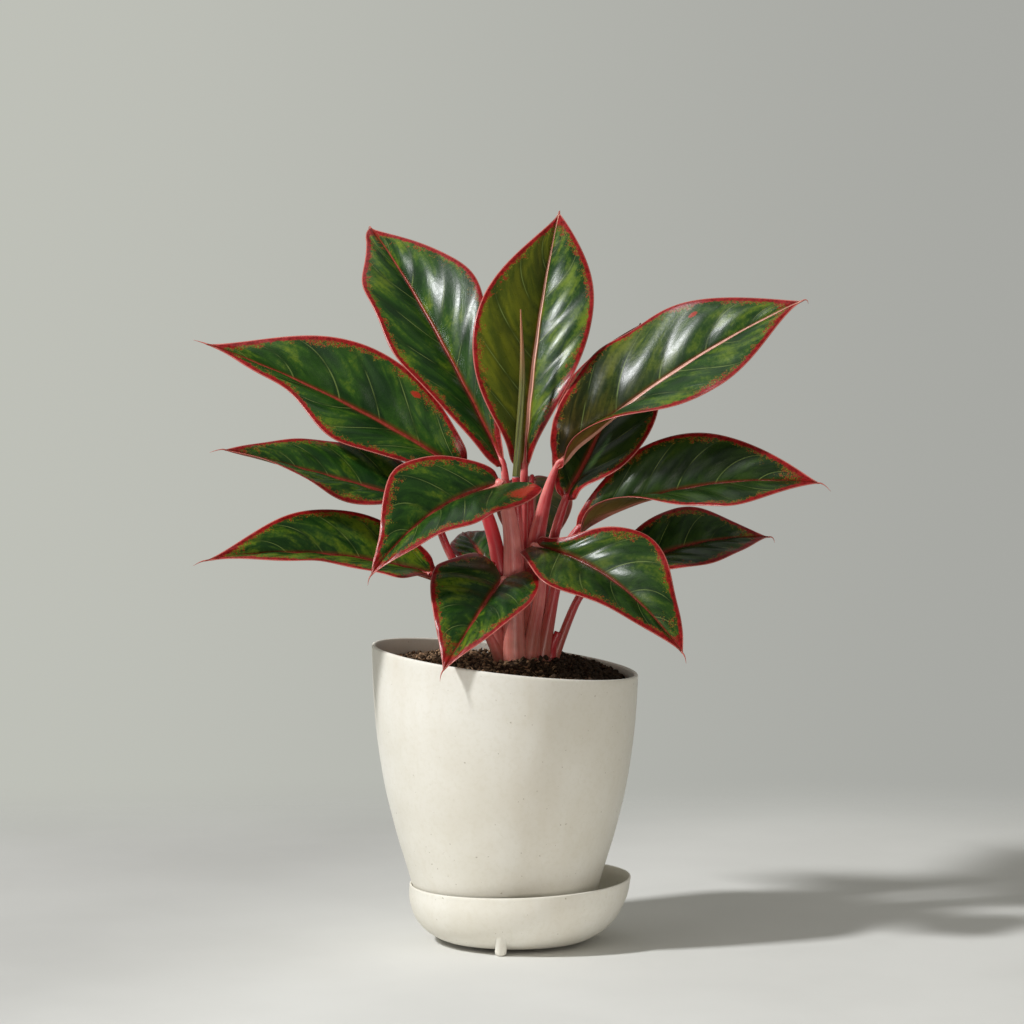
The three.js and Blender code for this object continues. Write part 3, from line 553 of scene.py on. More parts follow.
def leaf_material(under):
    n = Nodes("leaf_underside" if under else "leaf_upper")
    s, v, edge = n.parts("leaf")
    along, across, phase = n.parts("span")
    yellow, dark_and_shade, seed = n.parts("tone")
    through_light, blotch, umber_shade = n.parts("stain")
    rib_tone = n.attribute("rib")
    out = n.math("ABSOLUTE", v)
    rib_way = n.math("ABSOLUTE", across)
    shift = n.mul(seed, 37.0)
    flat = n.join(n.add(across, shift), along, shift)
    streak_at = n.join(n.add(n.mul(phase, 1.1), shift), n.mul(out, 1.1), seed)
    # ground colour, streaked along the side veins
    patch = n.noise(flat, 0.045, 3.0, 0.55)
    streak = n.noise(streak_at, 2.2, 4.0, 0.56, 0.5)
    mottle = n.noise(flat, 0.5, 4.0, 0.65)
    if under:
        dark, mid, light = (0.035, 0.05, 0.01), (0.085, 0.1, 0.016), (0.24, 0.17, 0.03)
        gold_from, gold_to = 0.46, 0.66
    else:
        dark, mid, light = (0.008, 0.033, 0.006), (0.03, 0.092, 0.01), (0.17, 0.235, 0.012)
        gold_from, gold_to = 0.5, 0.72
    ground = n.mix(n.step(n.weigh(streak, 0.65, patch, 0.35), 0.36, 0.64), dark, mid)
    gold = n.weigh(streak, 0.55, patch, 0.45)
    gold = n.add(gold, n.swing(yellow, 0.22))
    gold = n.add(gold, n.swing(mottle, 0.25))
    ground = n.mix(n.mul(n.step(gold, gold_from, gold_to), 0.8), ground, light)
    # painted shade: darkens the blade towards near black where it lies away from the light, along
    # with its dull tone
    deep = n.ramp(streak, 0.4, 0.65, (0.008, 0.014, 0.003), (0.022, 0.03, 0.005))
    ground = n.mix(dark_and_shade, ground, deep)
    # painted light: a brighter olive on one half of a blade, standing in for light shining through
    # it
    through_light_tone = n.ramp(streak, 0.35, 0.65, (0.06, 0.075, 0.004), (0.125, 0.125, 0.006))
    ground = n.mix(through_light, ground, through_light_tone)
    # painted shade: dark brown on one half near the root, where that half lies in shade
    umber_shade_tone = n.ramp(streak, 0.42, 0.66, (0.014, 0.012, 0.002), (0.075, 0.048, 0.01))
    ground = n.mix(umber_shade, ground, umber_shade_tone)
    # thin pale side veins, with painted shade darkening the shallow valleys they lie in
    cell = n.math("FRACT", phase)
    near = n.math("MINIMUM", cell, n.sub(1.0, cell))
    fading = n.step(out, 0.98, 0.6)
    # painted shade in the creases along the side veins
    vein_shade = n.mul(n.step(near, 0.16, 0.0), 0.45)
    ground = n.mix(vein_shade, ground, (0.006, 0.018, 0.003))
    line = n.mul(n.step(near, 0.026, 0.008), fading)
    line = n.mul(line, n.step(n.noise(flat, 0.06, 2.0), 0.34, 0.6, 0.0, 0.6))
    ground = n.mix(line, ground, (0.2, 0.27, 0.07) if not under else (0.3, 0.2, 0.08))
    # stippled zone along the margin
    grain = n.noise(flat, 1.5, 3.0, 0.7)
    coarse = n.noise(flat, 0.28, 3.0, 0.6)
    broad = n.noise(flat, 0.07, 2.0, 0.5)
    reach = n.add(edge, n.swing(coarse, -12.0))
    reach = n.add(reach, n.swing(broad, -9.0))
    zone = n.step(reach, 7.0, 1.5)
    dots = n.step(n.add(grain, n.mul(zone, 0.2)), 0.66, 0.74)
    dots = n.mul(dots, n.step(zone, 0.02, 0.3))
    ground = n.mix(n.mul(dots, 0.7), ground, (0.28, 0.22, 0.02))
    rust = n.step(n.add(n.noise(flat, 0.9, 3.0, 0.7), n.mul(zone, 0.25)), 0.7, 0.8)
    ground = n.mix(n.mul(rust, n.step(zone, 0.2, 0.6)), ground, (0.22, 0.028, 0.01))
    if under:
        ground = n.mix(n.step(s, 0.38, 0.12, 0.0, 0.75), ground, (0.18, 0.105, 0.018))
    spot = n.step(n.add(blotch, n.swing(grain, 0.9)), 0.45, 0.7)
    ground = n.mix(spot, ground, (0.33, 0.028, 0.01))
    # red margin, with a painted highlight as a pale line along the outer edge
    ragged = n.add(edge, n.swing(grain, -1.4))
    ragged = n.add(ragged, n.swing(coarse, -2.2))
    ragged = n.sub(ragged, n.step(s, 0.0, 0.14, 1.6, 0.0))
    margin = n.step(ragged, 2.9, 1.9)
    red = n.ramp(mottle, 0.35, 0.65, (0.16, 0.004, 0.004), (0.31, 0.01, 0.011))
    if under:
        red = n.mix(0.35, red, (0.48, 0.16, 0.1))
    color = n.mix(margin, ground, red)
    # painted highlight: a pale pink line where light catches the edge
    rim = n.step(n.add(edge, n.mul(grain, 0.3)), 0.8, 0.45)
    color = n.mix(n.mul(rim, 0.7), color, (0.62, 0.2, 0.16))
    # midrib
    half = n.step(s, 0.0, 1.0, 1.7, 0.5)
    rib = n.step(rib_way, n.add(half, 0.2), n.sub(half, 0.2))
    pinker = n.add(rib_tone, n.swing(mottle, 0.5))
    pink = n.ramp(pinker, 0.0, 0.4, (0.12, 0.016, 0.008), (0.34, 0.045, 0.03))
    pink = n.ramp(pinker, 0.4, 1.0, pink, (0.74, 0.4, 0.31))
    if under:
        pink = n.mix(0.4, pink, (0.62, 0.26, 0.17))
    color = n.mix(n.mul(rib, 0.95), color, pink)
    blush = n.step(rib_way, n.mul(half, 2.4), half)
    blush = n.mul(blush, n.sub(1.0, rib))
    color = n.mix(n.mul(blush, 0.4), color, (0.2, 0.03, 0.01))
    # surface relief
    relief = n.weigh(mottle, 0.1, grain, 0.03)
    relief = n.add(relief, n.mul(streak, 0.55))
    normal = n.bump(relief, 0.4, 0.001)
    if under:
        shader = n.surface(color, 0.6, normal, Specular_IOR_Level=0.3)
    else:
        rough = n.step(mottle, 0.3, 0.75, 0.27, 0.33)
        shader = n.surface(color, rough, normal, Specular_IOR_Level=0.29)
    through = n.mul(n.sub(1.0, margin), 0.5)
    glow = n.put("ShaderNodeBsdfTranslucent", Color=n.mix(through, color, (0.2, 0.28, 0.02)))
    n.blend(0.09, shader, glow)
    return n.owner


def stalk_material():
    n = Nodes("pink_stalk")
    along = n.attribute("along")
    around = n.attribute("around")
    crimson = n.attribute("crimson")
    place = n.place()
    turn = n.mul(around, math.tau)
    fibre_at = n.join(*n.around(turn, 3.0), n.weigh(along, 1.6, crimson, 19.0))
    fibre = n.noise(fibre_at, 2.6, 5.0, 0.6)
    blotch = n.noise(place, 70.0, 3.0, 0.6)
    color = n.ramp(fibre, 0.25, 0.75, (0.66, 0.155, 0.14), (0.82, 0.32, 0.28))
    # deep red share of a stalk, partly its own colour and partly painted shade on the stalks
    # further back
    share = n.add(n.mul(crimson, 0.75), n.swing(blotch, 0.8))
    # painted shade: each stalk turns crimson on the side away from the light
    shaded_side = n.math("COSINE", n.add(turn, 1.05))
    share = n.add(share, n.mul(shaded_side, 0.5))
    share = n.add(share, n.step(along, 0.62, 0.82, 0.0, 0.55))
    color = n.ramp(share, 0.15, 1.0, color, (0.4, 0.02, 0.026))
    low = n.mul(n.step(along, 0.26, 0.05), n.step(blotch, 0.25, 0.6, 0.35, 0.85))
    color = n.mix(low, color, (0.27, 0.115, 0.07))
    height = n.add(fibre, n.mul(blotch, 0.3))
    n.surface(color, n.step(fibre, 0.3, 0.7, 0.32, 0.46), n.bump(height, 0.2, 0.0006),
              Subsurface_Weight=0.15, Subsurface_Scale=0.003, Specular_IOR_Level=0.5)
    return n.owner


def new_leaf_material():
    n = Nodes("rolled_leaf")
    along = n.attribute("along")
    around = n.attribute("around")
    turn = n.mul(around, math.tau)
    at = n.join(*n.around(turn, 2.0), along)
    fibre = n.noise(at, 3.0, 4.0, 0.6)
    color = n.ramp(fibre, 0.35, 0.65, (0.06, 0.075, 0.012), (0.16, 0.16, 0.035))
    # painted highlight: a pale stripe down the side of the rolled leaf that faces the light
    pale = n.step(n.math("COSINE", n.add(turn, 0.5)), -0.55, -0.9)
    color = n.mix(n.mul(pale, 0.7), color, (0.46, 0.42, 0.2))
    color = n.ramp(along, 0.55, 0.98, color, (0.42, 0.17, 0.09))
    n.surface(color, 0.38, n.bump(fibre, 0.3, 0.0006), Subsurface_Weight=0.1,
              Subsurface_Scale=0.002)
    return n.owner


def soil_material():
    n = Nodes("potting_soil")
    tint = n.attribute("tint")
    place = n.place()
    fine = n.noise(place, 900.0, 4.0, 0.7)
    broad = n.noise(place, 160.0, 3.0, 0.6)
    color = n.ramp(fine, 0.35, 0.7, (0.018, 0.012, 0.008), (0.075, 0.046, 0.026))
    color = n.ramp(tint, 0.3, 1.0, color, (0.46, 0.29, 0.17))
    color = n.mix(n.mul(n.step(broad, 0.5, 0.7), 0.3), color, (0.13, 0.07, 0.04))
    height = n.add(fine, n.mul(broad, 0.6))
    n.surface(color, 0.92, n.bump(height, 0.7, 0.0012), Specular_IOR_Level=0.15)
    return n.owner


CERAMIC = ceramic_material()
LEAF_UPPER = leaf_material(False)
LEAF_UNDER = leaf_material(True)
STALK = stalk_material()
ROLLED = new_leaf_material()
SOIL = soil_material()


# ---- pot
def pot_radius(z):
    radius, height = np.array(POT_OUTER).T
    return smooth_curve(height, radius, z)


def smooth_curve(x, y, at):
    """Monotone cubic through the given points."""
    x, y = np.asarray(x, float), np.asarray(y, float)
    h = np.diff(x)
    d = np.diff(y) / h
    m = np.zeros(len(x))
    both = d[:-1] * d[1:] > 0
    w1, w2 = 2 * h[1:] + h[:-1], h[1:] + 2 * h[:-1]
    with np.errstate(divide="ignore", invalid="ignore"):
        m[1:-1] = np.where(both, (w1 + w2) / (w1 / d[:-1] + w2 / d[1:]), 0.0)
    m[0], m[-1] = d[0], d[-1]
    k = np.clip(np.searchsorted(x, at) - 1, 0, len(x) - 2)
    t = (at - x[k]) / h[k]
    return ((2 * t ** 3 - 3 * t ** 2 + 1) * y[k] + (t ** 3 - 2 * t ** 2 + t) * h[k] * m[k]
            + (-2 * t ** 3 + 3 * t ** 2) * y[k + 1] + (t ** 3 - t ** 2) * h[k] * m[k + 1])


def make_pot():
    turn = turns(ROUND_SIDES)
    rim = RIM_HEIGHT - RIM_FALL * POT_TOP_RADIUS * np.cos(turn)
    rim = RIM_HEIGHT - RIM_FALL * pot_radius(rim) * np.cos(turn)
    lip = POT_WALL / 2
    rows = [ring(r, z, turn) for r, z in POT_FOOT]
    for share in np.linspace(0, 1, 60) ** 0.9:
        z = POT_SIDE_FROM + (rim - lip - POT_SIDE_FROM) * share
        rows.append(ring(pot_radius(z), z, turn))
    top = pot_radius(rim - lip)
    for angle in np.linspace(0, math.pi, LIP_POINTS[0])[1:-1]:
        rows.append(ring(top - lip + lip * math.cos(angle),
                         rim - lip + lip * math.sin(angle), turn))
    for share in np.linspace(0, 1, 30):
        z = (rim - lip) + (POT_INSIDE_FROM - rim + lip) * share
        rows.append(ring(pot_radius(z) - POT_WALL - POT_TAPER * share, z, turn))
    rows += [ring(r, z, turn) for r, z in POT_INSIDE]
    points = np.array(rows)
    around = unit(points[..., :2] + 1e-9)
    uneven = UNEVEN * smooth_noise(points, 0.045, 5)
    side = slice(len(POT_FOOT), -len(POT_INSIDE))
    points[side, :, :2] += around[side] * uneven[side, :, None]
    # the last ring joins the first
    j = np.arange(ROUND_SIDES)
    k = (j + 1) % ROUND_SIDES
    last = (len(rows) - 1) * ROUND_SIDES
    faces = [grid_faces(len(rows), ROUND_SIDES, wrapped=True),
             np.stack([last + j, last + k, k, j], 1)]
    pot = add_object("pot_body", points.reshape(-1, 3), faces, [CERAMIC])
    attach(pot, "root")
    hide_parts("pot")


# ---- saucer
def lean_saucer(points):
    p = points.copy()
    level = np.clip((p[..., 2] - SAUCER_BOTTOM) / (SAUCER_RIM - SAUCER_BOTTOM), 0, 1)
    rise = SAUCER_SLOPE * p[..., 0] * level
    p[..., 0] += SAUCER_X - SAUCER_LEAN * np.maximum(SAUCER_RIM - p[..., 2], 0)
    p[..., 2] += rise
    return p


def make_saucer():
    turn = turns(ROUND_SIDES)
    steps = 42
    profile = []
    for run in (np.array(SAUCER_OUTER), np.array(SAUCER_INNER)):
        length = run_length(run)
        at = np.linspace(0, length[-1], steps)
        profile.append(np.stack([smooth_curve(length, part, at) for part in run.T], 1))
    top_out, top_in = profile[0][-1], profile[1][0]
    half = (top_out[0] - top_in[0]) / 2
    lip = [((top_out[0] + top_in[0]) / 2 + half * math.cos(a), SAUCER_RIM + half * math.sin(a))
           for a in np.linspace(0, math.pi, LIP_POINTS[1])[1:-1]]
    line = np.vstack([profile[0], lip, profile[1]])
    line[:steps, 1] = np.minimum(line[:steps, 1], SAUCER_RIM)
    line[:, 1] -= np.where(line[:, 1] > SAUCER_RIM - half, half * 0.9, 0)
    points = np.array([ring(r, z, turn) for r, z in line]).reshape(-1, 3)
    ends = [[0, 0, SAUCER_BOTTOM], [0, 0, SAUCER_FLOOR]]
    heap = Heap()
    heap.add(lean_saucer(np.vstack([points, ends])), tube_faces(len(line), ROUND_SIDES))
    for degrees in FOOT_ANGLES:
        heap.add(*foot(degrees))
    saucer = heap.build("saucer_bowl", [CERAMIC])
    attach(saucer, "root")
    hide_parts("saucer")


def foot(degrees):
    """A drop shaped foot that widens and runs out into the side of the bowl."""
    sides, steps = 36, 34
    a = math.radians(degrees)
    outward = np.array([math.cos(a), math.sin(a), 0])
    sideways = np.array([-math.sin(a), math.cos(a), 0])
    turn = turns(sides)
    heights = FOOT_TOP * np.linspace(0, 1, steps) ** 1.5
    wide = np.interp(heights, *zip(*FOOT_WIDE)) * FOOT_RADIUS
    deep = np.interp(heights, *zip(*FOOT_DEEP)) * FOOT_RADIUS
    rows = []
    for z, w, d in zip(heights, wide, deep):
        away = FOOT_FROM + (FOOT_TO - FOOT_FROM) * (z / FOOT_TOP) ** 1.4
        base = np.array([SAUCER_X - SAUCER_LEAN * (SAUCER_RIM - z), 0, z])
        rows.append(base + outward * (away + d * np.cos(turn))[:, None]
                    + sideways * (w * np.sin(turn))[:, None])
    return closed(np.array(rows)), tube_faces(steps, sides)


# ---- soil
def soil_top(x, y):
    dip = np.maximum(x - SOIL_DIP_FROM, 0)
    away = (x - CROWN_AT[0]) ** 2 + (y - CROWN_AT[1]) ** 2
    mound = SOIL_MOUND * np.exp(-away / (2 * SOIL_MOUND_SPREAD ** 2))
    return SOIL_LEVEL - SOIL_SLOPE * x - SOIL_DIP * dip * dip + mound


def crumb_shape(size):
    """A ball of 20 faces, squashed to the size."""
    phi = (1 + 5 ** 0.5) / 2
    four = np.array([(a, b * phi, 0) for b in (1, -1) for a in (-1, 1)])
    corners = np.vstack([four, np.roll(four, 1, 1), np.roll(four, 2, 1)])
    faces = np.array([(0, 11, 5), (0, 5, 1), (0, 1, 7), (0, 7, 10), (0, 10, 11), (1, 5, 9),
                      (5, 11, 4), (11, 10, 2), (10, 7, 6), (7, 1, 8), (3, 9, 4), (3, 4, 2),
                      (3, 2, 6), (3, 6, 8), (3, 8, 9), (4, 9, 5), (2, 4, 11), (6, 2, 10),
                      (8, 6, 7), (9, 8, 1)])
    return unit(corners) * size, faces


def make_soil():
    heap = Heap()
    rings, sides = 90, 200
    turn = turns(sides)
    rows = [ring(r, z, turn) for r, z in SOIL_WALL]
    for share in np.linspace(1, 0.012, rings):
        r = SOIL_EDGE * share
        flat = ring(r, 0.0, turn)
        lumps = 0.8 * smooth_noise(flat, 0.55, 3, 3) + 0.35 * smooth_noise(flat, 1.9, 4, 2)
        fall = -1.6 * share ** 18
        level = soil_top(r * np.cos(turn), r * np.sin(turn))
        rows.append(ring(r, level + lumps + fall, turn))
    points = np.array(rows)
    centre = np.array([[0, 0, SOIL_BOTTOM], [0, 0, points[-1, :, 2].mean()]])
    everything = np.vstack([points.reshape(-1, 3), centre])
    heap.add(everything, tube_faces(len(rows), sides),
             tint=0.25 + 0.15 * smooth_noise(everything, 0.2, 8))
    # loose crumbs, fibrous on the left and in front, dark and lumpy on the right
    for _ in range(CRUMBS):
        r = SOIL_EDGE * 0.985 * math.sqrt(rng.uniform())
        a = rng.uniform(0, math.tau)
        x, y = r * math.cos(a), r * math.sin(a)
        right = x > rng.normal(DARK_FROM, DARK_SPREAD)
        chip = not (right or rng.uniform() < 0.45)
        shape, faces = crumb_shape(CHIP if chip else LUMP)
        if right:
            size = rng.choice([0.8, 1.3, 1.9]) * rng.uniform(0.7, 1.1)
        else:
            size = rng.uniform(0.55, 1.25)
        if chip:
            size = rng.uniform(0.45, 0.9)
        if r + size > SOIL_EDGE - 0.3:
            continue
        spin = random_turn()
        lump = (shape * rng.uniform(0.75, 1.25, (12, 1))) @ spin.T * size
        z = soil_top(x, y) + rng.uniform(-0.2, 0.9) + 0.5 * size
        tint = rng.uniform(0.0, 0.35) if right else rng.uniform(0.25, 1.0)
        heap.add(lump + np.array([x, y, z]), [faces], tint=np.full(12, tint))
    soil = heap.build("soil_bed", [SOIL])
    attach(soil, "root")
    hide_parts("soil")


def about(axis, angle):
    """Rotation matrix about one axis."""
    turn = np.eye(3)
    i, j = (axis + 1) % 3, (axis + 2) % 3
    turn[i, i] = turn[j, j] = math.cos(angle)
    turn[i, j], turn[j, i] = -math.sin(angle), math.sin(angle)
    return turn


def random_turn():
    """A random rotation, mostly about the upright."""
    a, b, c = rng.uniform(0, math.tau), rng.normal(0, 0.5), rng.normal(0, 0.5)
    return about(2, a) @ about(0, b) @ about(1, c)


# ---- stalks
def midrib_run(root, radius):
    """Points and radii that carry a stalk on under the midrib of the blade it bears."""
    for shape in BLADES.values():
        if shape["spine"][0] == root:
            at, _, up = spine_frame(shape, RIB_SHARES)
            thin = radius * np.array(RIB_THINNING)
            return at - up * (thin * np.array(RIB_SINKING) + 0.15)[:, None], thin
    return [], []


def make_stalks():
    heap = Heap()

    def sheathed(t, turn):
        wing = bell((t - 0.35) / 0.28)
        groove = -0.09 * bell(beside(turn, 1.25 * math.pi) / 0.4)
        ridges = 0.006 * np.cos(9 * turn + 3 * t)
        return 1 + (0.08 * np.cos(2 * turn) + groove) * wing + ridges * (1 - t)

    for path, radii, crimson in STALKS:
        more, thinner = midrib_run(path[-1], radii[-1])
        add_tube(heap, [*path, *more], [*radii, *thinner], *STALK_GRID, squeeze=sheathed,
                 crimson=crimson)
    add_tube(heap, *STUB[:2], *STUB_GRID, crimson=STUB[2])
    # crown that the stalks grow from
    turn = turns(CROWN_SIDES)
    crown = closed(np.array([
        np.stack([CROWN_AT[0] + CROWN_HALF[0] * share * np.cos(turn),
                  CROWN_AT[1] + CROWN_HALF[1] * share * np.sin(turn),
                  np.full(CROWN_SIDES, float(z))], 1) for z, share in CROWN_PROFILE]))
    count = len(crown)
    heap.add(crown, tube_faces(len(CROWN_PROFILE), CROWN_SIDES), along=np.full(count, 0.1),
             around=np.linspace(0, 7, count), crimson=np.full(count, 0.7))
    stalks = heap.build("stalk_clump", [STALK])
    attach(stalks, "root")
    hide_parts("stalks")


def make_new_leaf():
    heap = Heap()

    def rolled(t, turn):
        seam = -0.28 * bell(beside(turn, 4.2 + 1.2 * t) / 0.28)
        return 1 + seam + 0.06 * np.cos(3 * turn + 5 * t)

    add_tube(heap, *NEW_LEAF, *ROLL_GRID, squeeze=rolled)
    piece = heap.build("rolled_new_leaf", [ROLLED])
    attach(piece, "root")
    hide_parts("new_leaf")


# ---- leaves
def half_width(s, q, side):
    along = q["neck"] + (1 - q["neck"]) * s
    wide = q["wide"][side]
    low = np.sin(math.pi / 2 * np.clip(along / wide, 0, 1)) ** q["blunt"][side]
    high = np.sin(math.pi / 2 * np.clip((1 - along) / (1 - wide), 0, 1)) ** q["point"][side]
    width = q["half"][side] * np.where(along < wide, low, high)
    fade = np.minimum(1, s / 0.1) * np.minimum(1, (1 - s) / 0.1)
    for where, amount, spread in q["swell"][side]:
        width = width + amount * bell((s - where) / spread) * fade
    return np.maximum(width, ROOT_HALF + (TIP_HALF - ROOT_HALF) * s)


def spine_frame(q, s):
    """Points of the midrib at the shares s, with the way it runs and the way it faces."""
    root, middle, tip = (np.array(p, float) for p in q["spine"])
    pull = 2 * middle - (root + tip) / 2
    t = np.asarray(s, float)[:, None]
    at = (1 - t) ** 2 * root + 2 * t * (1 - t) * pull + t ** 2 * tip
    along = unit(2 * (1 - t) * (pull - root) + 2 * t * (tip - pull))
    face = np.array(q["face"], float)
    up = unit(face - along * (along @ face)[:, None])
    return at, along, up


def blade_surface(q):
    """Middle surface of a blade on its grid, with what the colouring needs to know."""
    # rows crowd towards root and tip
    s = np.linspace(0, 1, ROWS)
    s = np.clip(s + ROW_CROWDING * np.sin(math.tau * (s - 0.5)), 0, 1)
    at, along, up = spine_frame(q, s)
    left = np.cross(up, along)
    length = run_length(at)
    share = np.linspace(0, 1, HALF_COLUMNS + 1)
    v = np.concatenate([-share[::-1], share[1:]])
    grid = np.zeros((ROWS, len(v), 3))
    reach_out = np.zeros((ROWS, len(v)))
    edge = np.zeros((ROWS, len(v)))
    for side, sign in ((0, 1), (1, -1)):
        width = half_width(s, q, side)
        roll = bell(s / q["reach"][side]) * (1 - bell(s / ROLL_START))
        raised = np.radians(q["rise"][side] + (q["root"][side] - q["rise"][side]) * roll)
        start = raised + BLADE_ARCH
        calm = np.sin(math.pi * s) ** 0.7
        ripple = q["wave"][side] * calm * np.sin(
            math.tau * (q["waves"][side] * s - q["phase"][side]))
        back = q["lobe"][side] * bell(s / LOBE_REACH) * (1 - bell(s / LOBE_START))
        slope = np.gradient(width, length)
        lean = 1 / np.sqrt(1 + slope ** 2)
        for c, value in enumerate(v):
            if (value >= 0) != (side == 0):
                continue
            u = abs(value)
            end = start - 2 * BLADE_ARCH * u
            out = width * (np.sin(start) - np.sin(end)) / (2 * BLADE_ARCH)
            high = width * (np.cos(end) - np.cos(start)) / (2 * BLADE_ARCH)
            behind = back * u * (2 - u)
            high = high + ripple * u * u + q["lift"] * behind
            grid[:, c] = (at + left * (sign * out)[:, None] + up * high[:, None]
                          - along * behind[:, None])
            reach_out[:, c] = sign * width * u
            edge[:, c] = np.minimum(width * (1 - u) * lean, (length[-1] - length) * 0.25)
    return s, v, grid, reach_out, edge, length, up


def grid_normals(grid):
    rows = np.gradient(grid, axis=0)
    columns = np.gradient(grid, axis=1)
    return unit(np.cross(columns, -rows))


def vein_phase(s, v, count):
    """Rises by one from each side vein to the next; veins arch towards the tip."""
    return count * (s[:, None] - 0.24 * np.abs(v)[None, :] ** 1.25)


def blotches(q, s, v, length, across):
    """Share of red blotching at each point of the grid, from the places named for the blade."""
    total = np.zeros(across.shape)
    for share, side_share, reach in q["blotch"]:
        row, column = np.abs(s - share).argmin(), np.abs(v - side_share).argmin()
        far = ((length - length[row]) / reach)[:, None] ** 2
        total += np.exp(-far - ((across - across[row, column]) / (0.55 * reach)) ** 2)
    return total


def stack_values(*values):
    """Three values for each point of a blade's grid, each given by row, column or point."""
    return np.stack(np.broadcast_arrays(*values), -1).reshape(-1, 3)


def make_blade(number, name, shape):
    q = {**BLADE_PLAIN, **shape}
    s, v, grid, across, edge, length, up = blade_surface(q)
    normal = grid_normals(grid)
    mid = len(v) // 2
    normal[:, mid] = up
    u = np.abs(v)[None, :]
    calm = (np.sin(math.pi * s) ** 0.6)[:, None]
    phase = vein_phase(s, v, q["veins"])
    side_shift = np.where(v > 0, 0.35, 0.0)[None, :]
    phase = phase + side_shift + 0.16 * smooth_noise(grid, 0.035, 60 + number)
    quilt = np.sin(math.pi * phase) ** 2
    puff = PUFF * quilt ** 0.8 * np.sin(math.pi * u ** 0.8) * calm
    crease = -CREASE * bell(across) * (1 - s)[:, None] ** 0.5
    frill = FRILL * np.sin(math.tau * (phase * 0.5 + number)) * u ** 6 * calm
    sway = SWAY * smooth_noise(grid, 0.05, 90 + number) * u * calm
    surface = grid + normal * (puff + frill + sway)[:, :, None]
    normal = grid_normals(surface)
    normal[:, mid] = up
    thick = BLADE_THICK * np.clip(edge / THIN_EDGE, 0.35, 1) / 2
    rib = (RIB_DEPTH * (1 - s) ** 1.1 + 0.25)[:, None] * bell(across / RIB_SPREAD)
    top = surface + normal * (thick + crease)[:, :, None]
    bottom = surface - normal * (thick + rib)[:, :, None]
    rows, columns = top.shape[:2]
    count = rows * columns
    # the skirt joins the borders of the two sides
    border = np.concatenate([
        np.arange(columns - 1), np.arange(rows - 1) * columns + columns - 1,
        (rows - 1) * columns + np.arange(columns - 1, 0, -1),
        np.arange(rows - 1, 0, -1) * columns])
    after = np.roll(border, -1)
    skirt = np.stack([after, border, border + count, after + count], 1)
    leaf = stack_values(s[:, None], v[None, :], edge)
    span = stack_values(length[:, None], across, phase)
    tone = np.array([q["tone"][0], q["tone"][1], number * 0.618 % 1.0])
    # painted brown shade at the root of one half
    umber_shade = q["umber_shade"] * bell(s[:, None] / q["umber_shade_to"]) * (v >= 0)[None, :]
    # three shares: painted light through one half, the leaf's own red blotches, painted brown
    # shade at the root of one half
    stain = stack_values(np.where(v >= 0, *q["through_light"])[None, :],
                         blotches(q, s, v, length, across), umber_shade)
    heap = Heap()
    heap.add(np.vstack([top.reshape(-1, 3), bottom.reshape(-1, 3)]),
             [grid_faces(rows, columns),
              grid_faces(rows, columns, start=count, flip=True), skirt], (0, 1, 0),
             leaf=np.vstack([leaf, leaf]), span=np.vstack([span, span]),
             tone=np.repeat(tone[None], 2 * count, 0), stain=np.vstack([stain, stain]),
             rib=np.full(2 * count, q["rib"]))
    add_hair(heap, surface[-1, mid], surface[-1, mid] - surface[-6, mid], q["hair"], tone)
    blade = heap.build(name.replace("leaf", "blade"), [LEAF_UPPER, LEAF_UNDER])
    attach(blade, "root")
    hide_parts(name)


def add_hair(heap, tip, way, curl, tone):
    """Dry thread that the tip runs out into."""
    way = way / np.linalg.norm(way)
    start = tip - way * 1.2
    path = [start, tip + way * 1.0, tip + way * 2.4 + np.array(curl, float) * 0.35,
            tip + way * 3.0 + np.array(curl, float)]
    points, _, _, centre = tube(path, (0.45, 0.36, 0.2, 0.07), *HAIR_GRID)
    flat = np.vstack([points.reshape(-1, 3), centre[0], centre[-1]])
    count = len(flat)
    heap.add(flat, tube_faces(*HAIR_GRID),
             leaf=np.repeat([[1.0, 1.0, 0.1]], count, 0),
             span=np.repeat([[0.0, 9.0, 0.5]], count, 0),
             tone=np.repeat(tone[None], count, 0), stain=np.zeros((count, 3)),
             rib=np.zeros(count))


make_pot()
make_saucer()
make_soil()
make_stalks()
make_new_leaf()
for order, (leaf_name, leaf_shape) in enumerate(BLADES.items()):
    make_blade(order, leaf_name, leaf_shape)


# ---- stage, light, camera
def make_stage():
    n = Nodes("studio_floor")
    place = n.place()
    x, y, _ = n.split(place)
    long_way = n.join(n.mul(x, 0.5), y, 0.0)
    away = n.put("ShaderNodeVectorMath", {"operation": "LENGTH"}, **{"0": long_way}).outputs[1]
    cloud = n.noise(place, 6.0, 3.0)
    color = n.ramp(cloud, 0.3, 0.7, (0.68, 0.675, 0.645), (0.73, 0.725, 0.695))
    # painted shade: the floor darkens towards the back left, outside the pool of light
    dim = n.sub(n.mul(y, 0.35), n.mul(x, 0.9))
    dim = n.mul(n.step(dim, -0.02, 0.22), 0.27)
    color = n.mix(dim, color, (0.0, 0.0, 0.0))
    shader = n.surface(color, 0.9, n.bump(n.noise(place, 90.0, 4.0), 0.15, 0.001),
                       Specular_IOR_Level=0.1)
    clear = n.put("ShaderNodeBsdfTransparent")
    n.blend(n.step(away, 0.26, 0.6), shader, clear)
    sides, size = 96, 1400.0
    rows = [ring(r, 0.0, turns(sides)) - SHIFT for r in (1.0, size)]
    side, middle, _ = tube_faces(2, sides)
    floor = add_object("floor", np.vstack([*rows, -SHIFT[None]]), [side, middle], [n.owner])


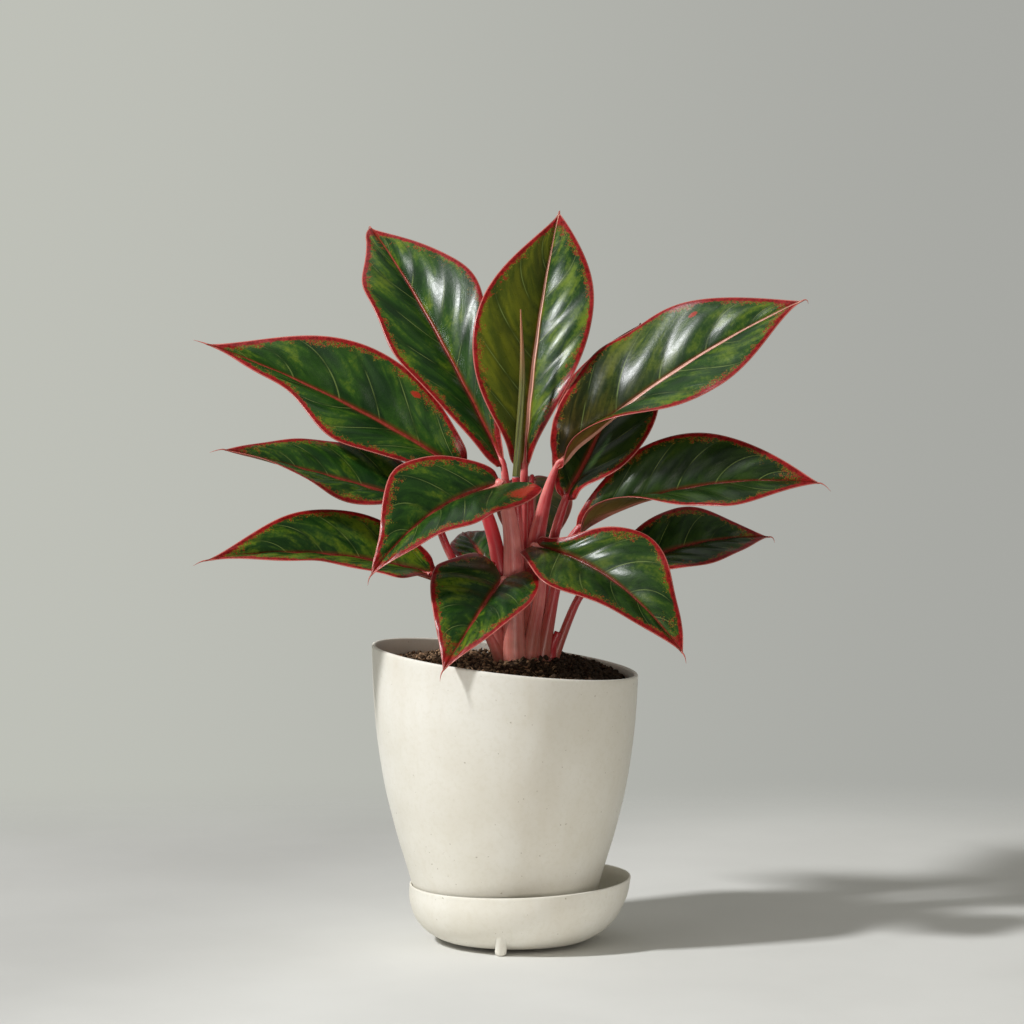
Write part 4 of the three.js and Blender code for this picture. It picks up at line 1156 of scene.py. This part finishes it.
def make_world():
    """Grey studio: pale where the camera looks, paler on the left, dim behind, grey above."""
    n = Nodes("studio", "worlds", "ShaderNodeOutputWorld")
    x, y, z = n.split(n.put("ShaderNodeTexCoord").outputs["Generated"])
    color = n.ramp(x, -0.16, 0.16, (0.52, 0.53, 0.48), (0.385, 0.39, 0.365))
    color = n.ramp(y, 0.6, -0.45, color, (0.1, 0.097, 0.086))
    color = n.ramp(z, 0.2, 0.75, color, (0.23, 0.228, 0.21))
    n.show("ShaderNodeBackground", Color=color, Strength=1.0)
    bpy.context.scene.world = n.owner


def add_light(name, place, aim, size, power, color, size_y=None):
    light = bpy.data.lights.new(name, "AREA")
    light.energy = power
    light.color = color
    light.size = size
    if size_y:
        light.shape = "RECTANGLE"
        light.size_y = size_y
    made = link_object(name, light)
    made.location = place
    way = np.array(aim) - np.array(place)
    made.rotation_euler = Vector(way).to_track_quat("-Z", "Y").to_euler()


def make_camera():
    focal_px, image_px, sensor = 3760.0, 1024.0, 36.0
    aside, away, height, down = 3.43, 1985.0, 0.381, 4.38  # mm, mm, metres, degrees
    camera = bpy.data.cameras.new("camera")
    camera.sensor_width = sensor
    camera.lens = focal_px / image_px * sensor
    camera.clip_start, camera.clip_end = 0.05, 50.0
    made = link_object("camera", camera)
    made.location = ((aside + SHIFT[0]) * MM, (SHIFT[1] - away) * MM, height)
    made.rotation_euler = (math.radians(90 - down), 0, 0)
    bpy.context.scene.camera = made


make_stage()
make_world()
# name, place and aim in metres, size, power, colour, second size
add_light("key", (-1.68, -0.86, 1.92), (0, 0, 0.15), 0.22, 64.0, (0.98, 0.99, 1.0))
add_light("window", (-1.1, -1.15, 0.85), (0, 0, 0.2), 0.9, 2.2, (1.0, 0.99, 0.97), 0.9)
add_light("front", (0.15, -2.3, 0.1), (0, 0, 0.12), 0.6, 13.0, (1.0, 0.94, 0.86), 0.4)
add_light("right", (1.9, -0.5, 0.45), (0, 0, 0.15), 0.9, 2.2, (1.0, 0.95, 0.86), 0.5)
add_light("overhead", (-0.35, 0.45, 1.6), (0, 0, 0.25), 0.9, 1.7, (1.0, 1.0, 1.0))
make_camera()
bpy.context.scene.view_settings.view_transform = "Standard"
bpy.context.scene.view_settings.look = "None"
